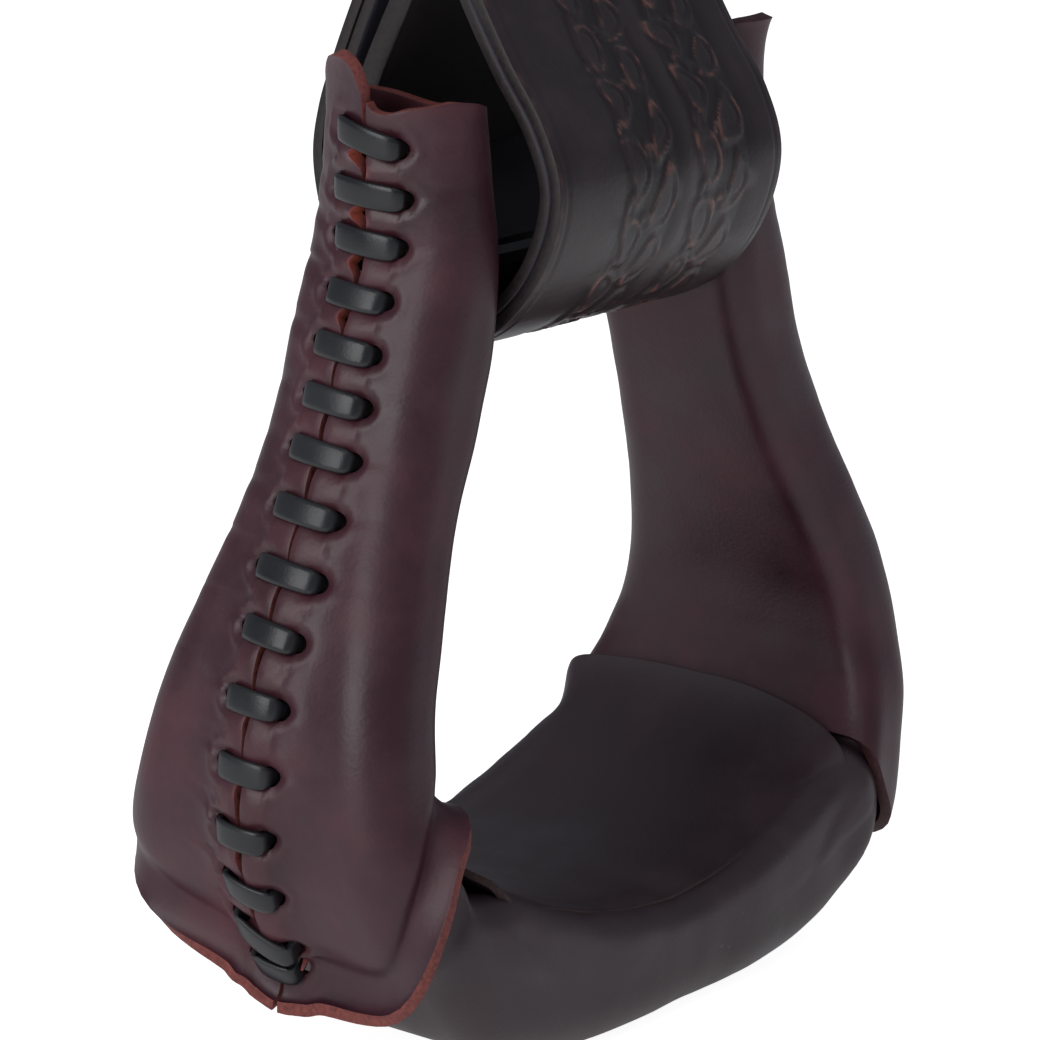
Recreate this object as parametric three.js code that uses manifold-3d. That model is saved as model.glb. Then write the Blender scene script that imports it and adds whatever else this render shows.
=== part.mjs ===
// A leather laced stirrup on the looped end of its strap. Millimetres, +Z up, X across the stirrup, -Y its front.
import * as THREE from 'three';
import Module from 'manifold-3d';

const wasm = await Module();
wasm.setup();
const { Manifold, Mesh: SolidMesh } = wasm;

// Driving sizes of the stirrup, over the leather
const stirrup = {
  height: 200, // tread's underside to the side covers' top edges
  bellyInside: 142.8,
  bellyOutside: 189.6,
  neckInside: 77.6,
  neckOutside: 117.6,
  treadDepth: 83.2, // front to back
  treadThickness: 26.8, // at the middle
  cornerRound: 11, // outer corners of the legs
  innerRound: 7, // corners on the foot's side
};
const clearance = 0.3; // between pieces that touch
const play = 0.6; // of the wood in its leather, and of the tread cover in the side covers' mouths
const overrun = 2; // how far a cutting tool passes its surface

// Leather
const cover = { wall: 2.5, earRise: 5, seamGap: 1.2, crown: 2.3, crownReach: 13, mouthRetreat: 9 };
const tread = { wall: 2.5, seamGap: 1, tongueThickness: 2, tongueHalfWidth: 34, tongueRise: 56, tongueDrop: 12.5 };
const bow = { thicknessLeg: 18.5, thicknessTread: 12, topBelowEars: 15, edgeRound: 1 };

// Lacing: bars across the seam outside, slanting runs under it inside
const lace = {
  bars: 16, width: 5.4, thickness: 1.2, holeWidth: 3.4, holeThickness: 1.5,
  holeRadius: 2.4, halfSpan: 7.6, firstBelowTop: 9, lastAboveMouth: 4.5, lift: 0.5, insideLift: 0.85, tail: 7,
};
const laceChannel = lace.thickness + lace.lift + lace.insideLift; // room for the runs between cover and wood

// Hanger hardware
const bolt = { belowEars: 42, radius: 4.76, headAcross: 14.3, headThickness: 5, threadStandsPast: 1.2 };
const washer = { radius: 8.6, thickness: 1.5 };
const sink = { radius: 9.4, depth: 7.4 };
const roller = { radius: 6.75, endPlay: 0.4, strapPlay: 0.65 };
const boltHeight = stirrup.height - bolt.belowEars;
const nail = { radius: 1.5, headRadius: 3, headThickness: 1.2, length: 17, acrossShare: 0.5, alongShare: 0.45 };

// Strap
const strap = {
  ply: 2.65, billetPly: 5.2, sidePlay: 0.5, edgeBevel: 0.5, joinAboveBolt: 80, joinLead: 7, standsPastBuckle: 16,
};
const buckle = {
  plateThickness: 2, plateHeight: 44, plateWidth: 64, plateAboveJoin: 4, postRadius: 3.2, postSpacing: 30,
  postAbovePlateBase: 27, rivetRadius: 2, rivetHeadRadius: 4, rivetHeadThickness: 1.2, rivetSpacing: 44,
  rivetAbovePlateBase: 8, rivetPitch: 9, sleeveWall: 1.6, sleeveHeight: 24, sleeveAbovePlateBase: 18,
};
const joinHeight = boltHeight + strap.joinAboveBolt;
const plateBase = joinHeight + buckle.plateAboveJoin;
const strapTop = plateBase + buckle.plateHeight + strap.standsPastBuckle;

const segments = { round: 18, hole: 6, small: 8, tongue: 10, corner: 3, woodCorner: 2, strap: 34, billet: 12 };

const oxblood = { color: 0x4a2a2e, roughness: 0.5, metalness: 0 };
const looks = {
  wood: { color: 0xa9814f, roughness: 0.7, metalness: 0 },
  sideLeather: oxblood,
  treadLeather: { color: 0x33292b, roughness: 0.55, metalness: 0 },
  laceLeather: { color: 0x1d1b1c, roughness: 0.4, metalness: 0 },
  strapLeather: { color: 0x3a2c2d, roughness: 0.5, metalness: 0 },
  liningLeather: { color: 0x2c2223, roughness: 0.6, metalness: 0 },
  steel: { color: 0xb9bbbd, roughness: 0.35, metalness: 1 },
};

const part = new THREE.Group();
part.position.z = -strapTop; // the frame's origin is where the strap is held

// Geometry helpers

function solidFrom(points, faces) {
  const vertProperties = new Float32Array(points.flatMap((p) => [p.x, p.y, p.z]));
  return new Manifold(new SolidMesh({ numProp: 3, vertProperties, triVerts: new Uint32Array(faces.flat()) }));
}

// Closed solid through rings of equal count; a ring runs anticlockwise seen from the first end
function loftSolid(rings, capFaces) {
  const count = rings[0].length;
  const faces = [];
  rings.slice(1).forEach((_, k) => {
    for (let j = 0; j < count; j += 1) {
      const a = k * count + j;
      const b = k * count + ((j + 1) % count);
      faces.push([a, a + count, b], [b, a + count, b + count]);
    }
  });
  const last = (rings.length - 1) * count;
  capFaces.forEach(([a, b, c]) => faces.push([a, b, c], [a + last, c + last, b + last]));
  return solidFrom(rings.flat(), faces);
}

function fanCap(count) {
  return Array.from({ length: count - 2 }, (_, k) => [0, k + 1, k + 2]);
}

// Cap of a ring whose first half is an outer line and whose second half runs back along an inner one
function stripCap(count) {
  const faces = [];
  for (let k = 0; k < count / 2 - 1; k += 1) {
    faces.push([k, k + 1, count - 2 - k], [k, count - 2 - k, count - 1 - k]);
  }
  return faces;
}

function cylinder(radius, length, sides) {
  return Manifold.cylinder(length, radius, radius, sides, true);
}

function along(solid, from, direction) {
  const turn = new THREE.Quaternion().setFromUnitVectors(new THREE.Vector3(0, 0, 1), direction);
  return solid.transform(new THREE.Matrix4().compose(from, turn, new THREE.Vector3(1, 1, 1)).toArray());
}

function extrudeAcross(shape, width, bevel) {
  const options = { depth: width - 2 * bevel, bevelEnabled: bevel > 0, bevelSegments: 1, curveSegments: 6 };
  const geometry = new THREE.ExtrudeGeometry(shape, {
    ...options, bevelThickness: bevel, bevelSize: bevel, bevelOffset: -bevel,
  });
  geometry.translate(0, 0, bevel - width / 2);
  geometry.applyMatrix4(new THREE.Matrix4().makeBasis(
    new THREE.Vector3(0, 1, 0), new THREE.Vector3(0, 0, 1), new THREE.Vector3(1, 0, 0),
  ));
  return solidFromGeometry(geometry);
}

function solidFromGeometry(geometry) {
  const source = geometry.index ? geometry.toNonIndexed() : geometry;
  const position = source.getAttribute('position');
  const mesh = new SolidMesh({
    numProp: 3,
    vertProperties: new Float32Array(position.array),
    triVerts: new Uint32Array(Array.from({ length: position.count }, (_, k) => k)),
  });
  mesh.merge();
  return new Manifold(mesh);
}

function add(name, solid, look) {
  const { vertProperties, triVerts, numProp } = solid.getMesh();
  const geometry = new THREE.BufferGeometry();
  const positions = new Float32Array((vertProperties.length / numProp) * 3);
  for (let k = 0; k < vertProperties.length / numProp; k += 1) {
    positions.set(vertProperties.subarray(k * numProp, k * numProp + 3), k * 3);
  }
  geometry.setAttribute('position', new THREE.BufferAttribute(positions, 3));
  geometry.setIndex(new THREE.BufferAttribute(new Uint32Array(triVerts), 1));
  geometry.computeVertexNormals();
  const mesh = new THREE.Mesh(geometry, new THREE.MeshStandardMaterial(look));
  mesh.name = name;
  part.add(mesh);
}

function mirrored(solid) {
  return solid.mirror([1, 0, 0]);
}

// The leg and tread as rows: a point on the foot's side, one on the outside, half the depth and two corner roundings

const half = {
  bellyInside: stirrup.bellyInside / 2,
  bellyOutside: stirrup.bellyOutside / 2,
  neckInside: stirrup.neckInside / 2,
  neckOutside: stirrup.neckOutside / 2,
  depth: stirrup.treadDepth / 2,
};

// Shares of the way out from neck to belly and of the height, inside then outside, and of the half depth
const legRowShares = [
  [0.05, 1.025, 0.01, 1.03, 0.38],
  [0.01, 0.92, 0.0, 0.925, 0.44],
  [0.0, 0.83, 0.015, 0.838, 0.49],
  [0.05, 0.74, 0.165, 0.76, 0.495],
  [0.235, 0.645, 0.31, 0.675, 0.51],
  [0.51, 0.55, 0.515, 0.585, 0.565],
  [0.77, 0.46, 0.735, 0.495, 0.66],
  [0.955, 0.385, 0.91, 0.415, 0.745],
  [1.0, 0.33, 0.995, 0.33, 0.815],
  [0.985, 0.295, 0.98, 0.255, 0.89],
  [0.95, 0.272, 0.84, 0.183, 0.94],
  [0.895, 0.25, 0.69, 0.13, 0.985],
  [0.83, 0.231, 0.53, 0.1, 1.03],
];

function makeRow(inner, outer, depth, innerRound, outerRound) {
  const out = outer.clone().sub(inner);
  return { inner, outer, depth, innerRound, outerRound, thickness: out.length(), out: out.normalize() };
}

const legRows = legRowShares.map(([innerOut, innerUp, outerOut, outerUp, deep]) => makeRow(
  new THREE.Vector3(half.neckInside + innerOut * (half.bellyInside - half.neckInside), 0, innerUp * stirrup.height),
  new THREE.Vector3(half.neckOutside + outerOut * (half.bellyOutside - half.neckOutside), 0, outerUp * stirrup.height),
  deep * half.depth, stirrup.innerRound, stirrup.cornerRound,
));

function insetRow(row, fromInner, fromOuter, fromSides, rounds = {}) {
  return makeRow(
    row.inner.clone().addScaledVector(row.out, fromInner),
    row.outer.clone().addScaledVector(row.out, -fromOuter),
    row.depth - fromSides,
    rounds.inner ?? Math.max(row.innerRound - fromInner, bow.edgeRound),
    rounds.outer ?? Math.max(row.outerRound - fromOuter, bow.edgeRound),
  );
}

// Tread from its middle out: shares of the inside half width, then rises as shares of the height
const treadRowShares = [
  [0, 0, 0, 0, 1],
  [0.21, 0.006, 0.22, 0, 1],
  [0.42, 0.023, 0.44, 0.004, 1],
  [0.63, 0.051, 0.67, 0.016, 0.99],
  [0.78, 0.073, 0.87, 0.043, 0.97],
];
const inCover = cover.wall + play;
const underLace = cover.wall + laceChannel;
const treadRows = [
  ...treadRowShares.map(([topOut, topUp, baseOut, baseUp, deep]) => makeRow(
    new THREE.Vector3(topOut * half.bellyInside, 0, stirrup.treadThickness + topUp * stirrup.height),
    new THREE.Vector3(baseOut * half.bellyInside, 0, baseUp * stirrup.height),
    deep * half.depth, stirrup.innerRound, stirrup.cornerRound,
  )),
  ...legRows.slice(-2).reverse().map((row) => insetRow(row, inCover, underLace, inCover, {
    inner: stirrup.innerRound, outer: stirrup.cornerRound,
  })),
];

function mirrorRow(row) {
  const flip = new THREE.Vector3(-1, 1, 1);
  return makeRow(row.inner.clone().multiply(flip), row.outer.clone().multiply(flip), row.depth, row.innerRound,
    row.outerRound);
}

function throughMiddle(rows) {
  return [...rows.slice(1).reverse(), ...rows.map(mirrorRow)];
}

// Smooth row at any place along a list of rows, counted in rows
function rowAt(rows, place) {
  const k = Math.min(Math.max(Math.floor(place), 0), rows.length - 2);
  const f = place - k;
  const pick = [k - 1, k, k + 1, k + 2].map((n) => rows[Math.min(Math.max(n, 0), rows.length - 1)]);
  const weights = [
    0.5 * (-f + 2 * f * f - f ** 3),
    0.5 * (2 - 5 * f * f + 3 * f ** 3),
    0.5 * (f + 4 * f * f - 3 * f ** 3),
    0.5 * (f ** 3 - f * f),
  ];
  const blend = (read) => weights.reduce((sum, w, n) => sum + w * read(pick[n]), 0);
  const point = (key) => new THREE.Vector3(blend((r) => r[key].x), 0, blend((r) => r[key].z));
  return makeRow(point('inner'), point('outer'), blend((r) => r.depth), blend((r) => r.innerRound),
    blend((r) => r.outerRound));
}

function crownAt(v, crown) {
  return Math.abs(v) < cover.crownReach ? crown * Math.cos((Math.PI / 2) * (v / cover.crownReach)) ** 2 : 0;
}

// Section of a row, as points [across the depth, out from the middle], from the seam round and back to it
function sectionOf(row, inset, seamHalf, crown, corner = segments.corner) {
  const high = row.thickness / 2 - inset;
  const side = row.depth - inset;
  const innerRound = Math.min(Math.max(row.innerRound - inset, bow.edgeRound), high);
  const outerRound = Math.min(Math.max(row.outerRound - inset, bow.edgeRound), 2 * high - innerRound);
  const points = [];
  const flat = side - outerRound;
  const faceSteps = crown > 0 ? 3 : 1;
  for (let k = 0; k <= faceSteps; k += 1) {
    const v = seamHalf + (k / faceSteps) * (flat - seamHalf);
    points.push([v, high + crownAt(v, crown)]);
  }
  for (let k = 1; k <= corner; k += 1) {
    const a = (Math.PI / 2) * (1 - k / corner);
    const v = flat + outerRound * Math.cos(a);
    points.push([v, high - outerRound + outerRound * Math.sin(a) + crownAt(v, crown)]);
  }
  for (let k = 0; k <= corner; k += 1) {
    const a = (-Math.PI / 2) * (k / corner);
    points.push([side - innerRound + innerRound * Math.cos(a), innerRound - high + innerRound * Math.sin(a)]);
  }
  const back = points.map(([v, u]) => [-v, u]).reverse();
  return seamHalf > 0 ? [...points, [0, -high], ...back] : [...points, ...back.slice(0, -1)];
}

function placed(row, [v, u]) {
  return row.inner.clone().add(row.outer).multiplyScalar(0.5).addScaledVector(row.out, u).setY(v);
}

// Solid through rows, one ring to a row
function solidLoft(rows) {
  const rings = rows.map((row) => sectionOf(row, 0, 0, 0, segments.woodCorner).map((p) => placed(row, p)));
  return loftSolid(rings, fanCap(rings[0].length));
}

// Sleeve with a wall and an open seam, one ring to a place; placeOf shifts a place for one line along the sleeve
function sleeve(rows, places, placeOf, wall, seamGap, crown) {
  const middle = rowAt(rows, rows.length / 2);
  const shape = sectionOf(middle, 0, seamGap / 2, crown);
  const shares = shape.map(([v, u]) => [v / middle.depth, u / (middle.thickness / 2)]);
  const rings = places.map((place) => {
    const line = shares.map((share, j) => {
      const row = rowAt(rows, placeOf(share, place));
      return [wall, 0].map((inset) => placed(row, sectionOf(row, inset, seamGap / 2, crown)[j]));
    });
    return [...line.map((pair) => pair[1]), ...line.map((pair) => pair[0]).reverse()];
  });
  return loftSolid(rings, stripCap(rings[0].length));
}

// Side cover

const topRowRise = legRows[0].outer.distanceTo(legRows[1].outer);
const earTop = 0.12; // share of the first row that the highest ear stands below

function earAt([v, u]) {
  const back = Math.max(v, 0) * (0.5 + 0.5 * u);
  const seamDip = (1 - Math.abs(v)) ** 2 * Math.max(u, 0);
  return earTop + (cover.earRise / topRowRise) * (1 - back + 0.45 * seamDip);
}

const lastRow = legRows.length - 1;
const mouthPitch = legRows[lastRow].outer.distanceTo(legRows[lastRow - 1].outer);
const mouthStart = lastRow - 3; // row above which the mouth's shape has no effect

function mouthAt([v, u]) {
  return lastRow - (cover.mouthRetreat / mouthPitch) * v * v * Math.min(1, Math.max(0.5 - 0.5 * u, 0.12));
}

function coverPlace(share, place) {
  if (place === 0) return earAt(share);
  if (place <= mouthStart) return place;
  return mouthStart + ((place - mouthStart) * (mouthAt(share) - mouthStart)) / (lastRow - mouthStart);
}

// Places of the lace's bars: equal steps along the outer face's seam line
function seamPlaces(count) {
  const fine = 400;
  const lengths = [0];
  const at = (k) => (k / fine) * lastRow;
  for (let k = 1; k <= fine; k += 1) {
    lengths.push(lengths[k - 1] + rowAt(legRows, at(k)).outer.distanceTo(rowAt(legRows, at(k - 1)).outer));
  }
  const start = earTop * topRowRise + lace.firstBelowTop;
  const end = lengths[fine] - lace.lastAboveMouth;
  return Array.from({ length: count }, (_, k) => {
    const want = start + (k / (count - 1)) * (end - start);
    return at(lengths.findIndex((length) => length >= want));
  });
}

const barPlaces = seamPlaces(lace.bars);
const coverPlaces = [0, ...barPlaces, lastRow];

function seamSurface(place, v, lift) {
  const row = rowAt(legRows, place);
  const flat = row.depth - row.outerRound;
  const past = Math.max(Math.abs(v) - flat, 0);
  const fall = row.outerRound - Math.sqrt(row.outerRound ** 2 - past ** 2);
  return placed(row, [v, row.thickness / 2 - fall + crownAt(v, cover.crown) + lift]);
}

function sideCover() {
  const shell = sleeve(legRows, coverPlaces, coverPlace, cover.wall, cover.seamGap, cover.crown);
  const holes = barPlaces.flatMap((place) => [-1, 1].map((side) => {
    const tool = cylinder(lace.holeRadius, cover.wall + 2 * overrun, segments.hole);
    return along(tool, seamSurface(place, side * lace.halfSpan, -cover.wall / 2), rowAt(legRows, place).out);
  }));
  const boltHole = cylinder(bolt.radius + 2 * clearance, cover.wall * 2 + overrun, segments.small);
  const inner = rowAtHeight(boltHeight).inner;
  const boltCut = along(boltHole, new THREE.Vector3(inner.x + cover.wall / 2, 0, boltHeight), acrossX);
  return shell.subtract(Manifold.union([...holes, boltCut]));
}

const acrossX = new THREE.Vector3(1, 0, 0);

function rowAtHeight(height) {
  const fine = 600;
  const all = Array.from({ length: fine }, (_, k) => rowAt(legRows, (k / fine) * (legRows.length - 1)));
  const centre = (row) => (row.inner.z + row.outer.z) / 2;
  return all.reduce((best, row) => (Math.abs(centre(row) - height) < Math.abs(centre(best) - height) ? row : best));
}

// Lace: one flat strip that winds round the seam, out of one hole, across, in at the next, and slanting back inside

const laceLoop = (() => {
  const top = lace.lift + lace.thickness / 2;
  const low = -cover.wall - lace.insideLift - lace.thickness / 2;
  const turn = 0.2; // share of the half span over which the lace bends into a hole
  const edge = 1 - turn;
  // Across the seam, lift (0 inside to 1 outside), part of the step to the next bar, and how far it is in a hole
  return [
    [-1, 0.5, 0, 1], [-1, 0.78, 0, 0.8], [-edge, 1, 0, 0.3], [0, 1, 0, 0], [edge, 1, 0, 0.3], [1, 0.78, 0, 0.8],
    [1, 0.5, 0, 1], [1, 0.22, 0, 0.8], [edge, 0, 0.08, 0.5], [0, 0, 0.5, 0.3], [-edge, 0, 0.92, 0.5],
    [-1, 0.22, 1, 0.8],
  ].map(([v, lift, step, inHole]) => ({ v: v * lace.halfSpan, lift: low + lift * (top - low), step, inHole }));
})();

function laceRing(place, v, lift, normal, inHole) {
  const step = 0.01;
  const seam = seamSurface(place + step, v, lift).sub(seamSurface(place - step, v, lift)).normalize();
  const wide = (lace.width + inHole * (lace.holeWidth - lace.width)) / 2;
  const thick = (lace.thickness + inHole * (lace.holeThickness - lace.thickness)) / 2;
  const centre = seamSurface(place, v, lift);
  return [[1, 0], [0.62, 1], [-0.62, 1], [-1, 0], [-0.62, -1], [0.62, -1]]
    .map(([s, n]) => centre.clone().addScaledVector(seam, s * wide).addScaledVector(normal, n * thick));
}

function laceStrip() {
  const stations = [];
  const middle = -cover.wall / 2;
  barPlaces.forEach((place, bar) => {
    const pitch = bar + 1 < barPlaces.length ? barPlaces[bar + 1] - place : place - barPlaces[bar - 1];
    const end = bar + 1 === barPlaces.length ? laceLoop.findIndex((p) => p.step >= 0.5) : laceLoop.length;
    laceLoop.slice(0, end).forEach((p) => stations.push({ place: place + p.step * pitch, ...p }));
  });
  const tailPlace = barPlaces[0] - lace.tail / topRowRise;
  const first = laceLoop[laceLoop.length - 2];
  const enter = { ...laceLoop[laceLoop.length - 1], place: barPlaces[0] };
  stations.unshift({ ...first, v: first.v / 2, place: tailPlace }, { ...first, place: barPlaces[0] - 0.06 }, enter);
  return stations.map(({ place, v, lift, inHole }) => {
    const out = rowAt(legRows, place).out;
    const away = new THREE.Vector3(0, v, 0).multiplyScalar(1 / lace.halfSpan);
    const upright = (lift - middle) / (laceLoop[3].lift - middle);
    const normal = away.multiplyScalar(Math.abs(away.y) ** 3).addScaledVector(out, upright).normalize();
    return laceRing(place, v, lift, normal, inHole);
  });
}

function leastGap(rings, apart) {
  let least = Infinity;
  rings.forEach((ring, k) => rings.slice(k + apart).forEach((other) => ring.forEach((p) => other.forEach((q) => {
    least = Math.min(least, p.distanceTo(q));
  }))));
  return least;
}

// Wood

const inTread = tread.wall + play;
const blockEnd = treadRowShares.length - 0.5;
const treadPlaces = [0, ...Array.from({ length: 2 * treadRows.length - 3 }, (_, k) => 1 + k / 2)];

function treadWoodAt(place) {
  return insetRow(rowAt(treadRows, place), inTread, inTread, inTread);
}

function bowThicknessAt(place) {
  const grow = place / (treadRows.length - 1);
  return bow.thicknessTread * (1 + bowEndShare * grow ** 4);
}

const bowEndShare = 0.15; // the bow thickens by this much toward the corners

function treadBowAt(place) {
  const row = treadWoodAt(place);
  const grow = (place / (treadRows.length - 1)) ** 4;
  return insetRow(row, row.thickness - bowThicknessAt(place), 0, 0, {
    inner: bow.edgeRound + grow * (row.innerRound - bow.edgeRound),
  });
}

function legBowAt(place) {
  const row = insetRow(rowAt(legRows, place), inCover, underLace, inCover);
  return insetRow(row, Math.max(row.thickness - bow.thicknessLeg, 0), 0, 0, { inner: row.innerRound });
}

const bowTop = bow.topBelowEars / topRowRise;
const bowHalf = [
  ...treadPlaces.map(treadBowAt),
  ...[bowTop, ...barPlaces.filter((place) => place > bowTop + 0.2 && place < lastRow - 1.7)].reverse().map(legBowAt),
];

function sinkCut(side) {
  const wood = rowAtHeight(boltHeight);
  const face = wood.outer.x - cover.wall - laceChannel;
  const from = new THREE.Vector3(side * (face - sink.depth + (sink.depth + overrun * 3) / 2), 0, boltHeight);
  return along(cylinder(sink.radius, sink.depth + overrun * 3, segments.round), from, acrossX);
}

const sinkFloor = rowAtHeight(boltHeight).outer.x - cover.wall - laceChannel - sink.depth;

function nailPlaces() {
  const x = nail.alongShare * half.bellyInside;
  const y = nail.acrossShare * half.depth;
  return [[x, y], [x, -y], [-x, y], [-x, -y]];
}

function baseHeightAt(x) {
  const fine = 300;
  const rows = Array.from({ length: fine }, (_, k) => treadWoodAt((k / fine) * (treadRows.length - 1)));
  return rows.reduce((best, row) => (Math.abs(row.outer.x - x) < Math.abs(best.outer.x - x) ? row : best)).outer.z;
}

const nailHeadHeight = baseHeightAt(nail.alongShare * half.bellyInside) + nail.headThickness * 0.5;

function nailSolid([x, y], extra) {
  const head = cylinder(nail.headRadius + extra, nail.headThickness + 2 * extra, segments.small);
  const shank = cylinder(nail.radius + extra, nail.length + 2 * extra, segments.small);
  const solid = head.add(shank.translate([0, 0, nail.length / 2 - nail.headThickness / 2]));
  return solid.translate([x, y, nailHeadHeight + nail.headThickness / 2]);
}

function nailHoles() {
  return Manifold.union(nailPlaces().map((place) => {
    const mouth = cylinder(nail.headRadius + clearance, overrun * 2, segments.small);
    const below = mouth.translate([place[0], place[1], nailHeadHeight + nail.headThickness / 2 - overrun]);
    return nailSolid(place, clearance).add(below);
  }));
}

function bentBow() {
  const wood = solidLoft(throughMiddle(bowHalf));
  const bore = along(cylinder(bolt.radius + clearance * 1.4, stirrup.bellyOutside, segments.round),
    new THREE.Vector3(0, 0, boltHeight), acrossX);
  return wood.subtract(Manifold.union([bore, sinkCut(1), sinkCut(-1), nailHoles()]));
}

function treadBlock() {
  const places = treadPlaces.filter((place) => place <= blockEnd);
  const rows = places.map((place) => insetRow(treadWoodAt(place), 0, bowThicknessAt(place) + clearance, 0, {
    outer: bow.edgeRound,
  }));
  return solidLoft(throughMiddle(rows)).subtract(nailHoles());
}

// Tread cover: wrapped tube with its seam underneath, and a tongue up each leg's inner face

function tongue() {
  const under = [];
  const over = [];
  const treadEnd = treadRows.slice(3, 5);
  treadEnd.forEach((row) => {
    over.push(row.inner);
    under.push(row.inner.clone().addScaledVector(row.out, tread.tongueThickness));
  });
  legRows.slice(-4).reverse().forEach((row) => {
    under.push(row.inner.clone().addScaledVector(row.out, -clearance * 1.3));
    over.push(row.inner.clone().addScaledVector(row.out, -clearance * 1.3 - tread.tongueThickness));
  });
  const smooth = (points) => new THREE.CatmullRomCurve3(points).getPoints(segments.tongue);
  const outline = [...smooth(over), ...smooth(under).reverse()];
  const shape = new THREE.Shape(outline.map((p) => new THREE.Vector2(p.x, p.z)));
  const geometry = new THREE.ExtrudeGeometry(shape, { depth: 2 * tread.tongueHalfWidth, bevelEnabled: false });
  geometry.rotateX(Math.PI / 2);
  geometry.translate(0, tread.tongueHalfWidth, 0);
  const arch = new THREE.Shape();
  const steps = 16;
  arch.moveTo(-tread.tongueHalfWidth - overrun, 0);
  for (let k = 0; k <= steps; k += 1) {
    const y = (2 * k / steps - 1) * (tread.tongueHalfWidth + overrun);
    arch.lineTo(y, tread.tongueRise - tread.tongueDrop * (y / tread.tongueHalfWidth) ** 2);
  }
  arch.lineTo(tread.tongueHalfWidth + overrun, 0);
  return solidFromGeometry(geometry).intersect(extrudeAcross(arch, stirrup.bellyOutside, 0));
}

function treadCover() {
  const rows = throughMiddle(treadRows);
  const middle = treadRows.length - 1;
  const places = [...treadPlaces.map((place) => middle - place).reverse(), ...treadPlaces.slice(1).map((p) => middle + p)];
  const tube = sleeve(rows, places, (share, place) => place, tread.wall, tread.seamGap, 0);
  const flap = tongue();
  return tube.add(flap).add(mirrored(flap));
}

// Hanger hardware

function hexagon(across, thickness) {
  return cylinder(across / Math.sqrt(3), thickness, 6);
}

function standing(solid, x) {
  return along(solid, new THREE.Vector3(x, 0, boltHeight), acrossX);
}

const washerX = sinkFloor + clearance + washer.thickness / 2;
const headX = washerX + washer.thickness / 2 + clearance + bolt.headThickness / 2;

function boltSolid() {
  const end = headX + bolt.headThickness / 2 + bolt.threadStandsPast;
  const start = -headX + bolt.headThickness / 2 - overrun / 2;
  const shank = cylinder(bolt.radius, end - start, segments.round);
  return standing(shank, (start + end) / 2).add(standing(hexagon(bolt.headAcross, bolt.headThickness), -headX));
}

function ring(radius, bore, length, x) {
  const body = cylinder(radius, length, segments.round);
  return standing(body.subtract(cylinder(bore, length + overrun, segments.round)), x);
}

function nutSolid() {
  const bore = cylinder(bolt.radius + clearance, bolt.headThickness + overrun, segments.round);
  return standing(hexagon(bolt.headAcross, bolt.headThickness).subtract(bore), headX);
}

// Strap: lines in the YZ plane, of which the loop's points are shares of its half depth and of its height

const rollerBase = boltHeight - roller.radius - roller.strapPlay;
const loop = { halfDepth: 27.5, height: joinHeight - rollerBase };
const strapWidth = stirrup.neckInside - 2 * strap.sidePlay;
const joinY = 1.5 * strap.ply + clearance; // front run's inner face at the top, with the tooled ply over the bolt

const loopShares = [
  [0.12, 0.955], [0, 0.87], [-0.2, 0.75], [-0.5, 0.6], [-0.82, 0.46], [-0.955, 0.34], [-0.83, 0.19], [-0.55, 0.075], [-0.22, 0.012],
  [0, 0], [0.22, 0.012], [0.55, 0.065], [0.85, 0.18], [1, 0.34], [0.96, 0.45], [0.83, 0.57], [0.62, 0.73],
  [0.46, 0.84], [0.385, 0.92],
];
const billetShares = [[0.74, 0.33], [0.68, 0.45], [0.535, 0.57], [0.4, 0.66], [0.27, 0.75], [0.195, 0.85], [0.17, 0.93]];

function loopPoint([deep, up]) {
  return new THREE.Vector3(0, deep * loop.halfDepth, rollerBase + up * loop.height);
}

function straightUp(y) {
  return [joinHeight, joinHeight + strap.joinLead, (joinHeight + strapTop) / 2, strapTop]
    .map((z) => new THREE.Vector3(0, y, z));
}

const billetFace = joinY + play;
const backFace = billetFace + strap.billetPly + clearance;
const loopLine = new THREE.CatmullRomCurve3([
  ...straightUp(joinY).reverse(), ...loopShares.map(loopPoint), ...straightUp(backFace),
], false, 'centripetal');
const billetLine = new THREE.CatmullRomCurve3([...billetShares.map(loopPoint), ...straightUp(billetFace)], false,
  'centripetal');

// Band between two distances outside a line
function band(line, near, far, steps) {
  const sides = [near, far].map((distance) => Array.from({ length: steps + 1 }, (_, k) => {
    const point = line.getPointAt(k / steps);
    const heading = line.getTangentAt(k / steps);
    return new THREE.Vector2(point.y + heading.z * distance, point.z - heading.y * distance);
  }));
  return new THREE.Shape([...sides[1], ...sides[0].reverse()]);
}

const nearFront = joinY - 2 * strap.ply - clearance;
const farBack = backFace + 2 * strap.ply + clearance;
const plateY = farBack + clearance + buckle.plateThickness / 2;
const towardFront = new THREE.Vector3(0, -1, 0);

function alongY(solid, x, y, z) {
  return along(solid, new THREE.Vector3(x, y, z), towardFront);
}

const postPlaces = [-1, 1].map((side) => [side * buckle.postSpacing / 2, plateBase + buckle.postAbovePlateBase]);
const rivetPlaces = [0, 1].flatMap((row) => [-1, 1].map((side) => [
  side * buckle.rivetSpacing / 2, plateBase + buckle.rivetAbovePlateBase + row * buckle.rivetPitch,
]));

function strapHoles() {
  const depth = farBack - nearFront + 2 * overrun;
  const middle = (farBack + nearFront) / 2;
  const posts = postPlaces.map(([x, z]) => alongY(
    cylinder(buckle.postRadius + clearance * 1.3, depth, segments.small), x, middle, z));
  const backMiddle = (farBack + overrun + billetFace - clearance / 2) / 2;
  const backDepth = farBack + overrun - billetFace + clearance / 2;
  const rivets = rivetPlaces.map(([x, z]) => alongY(
    cylinder(buckle.rivetRadius + clearance, backDepth, segments.small), x, backMiddle, z));
  return Manifold.union([...posts, ...rivets]);
}

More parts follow.
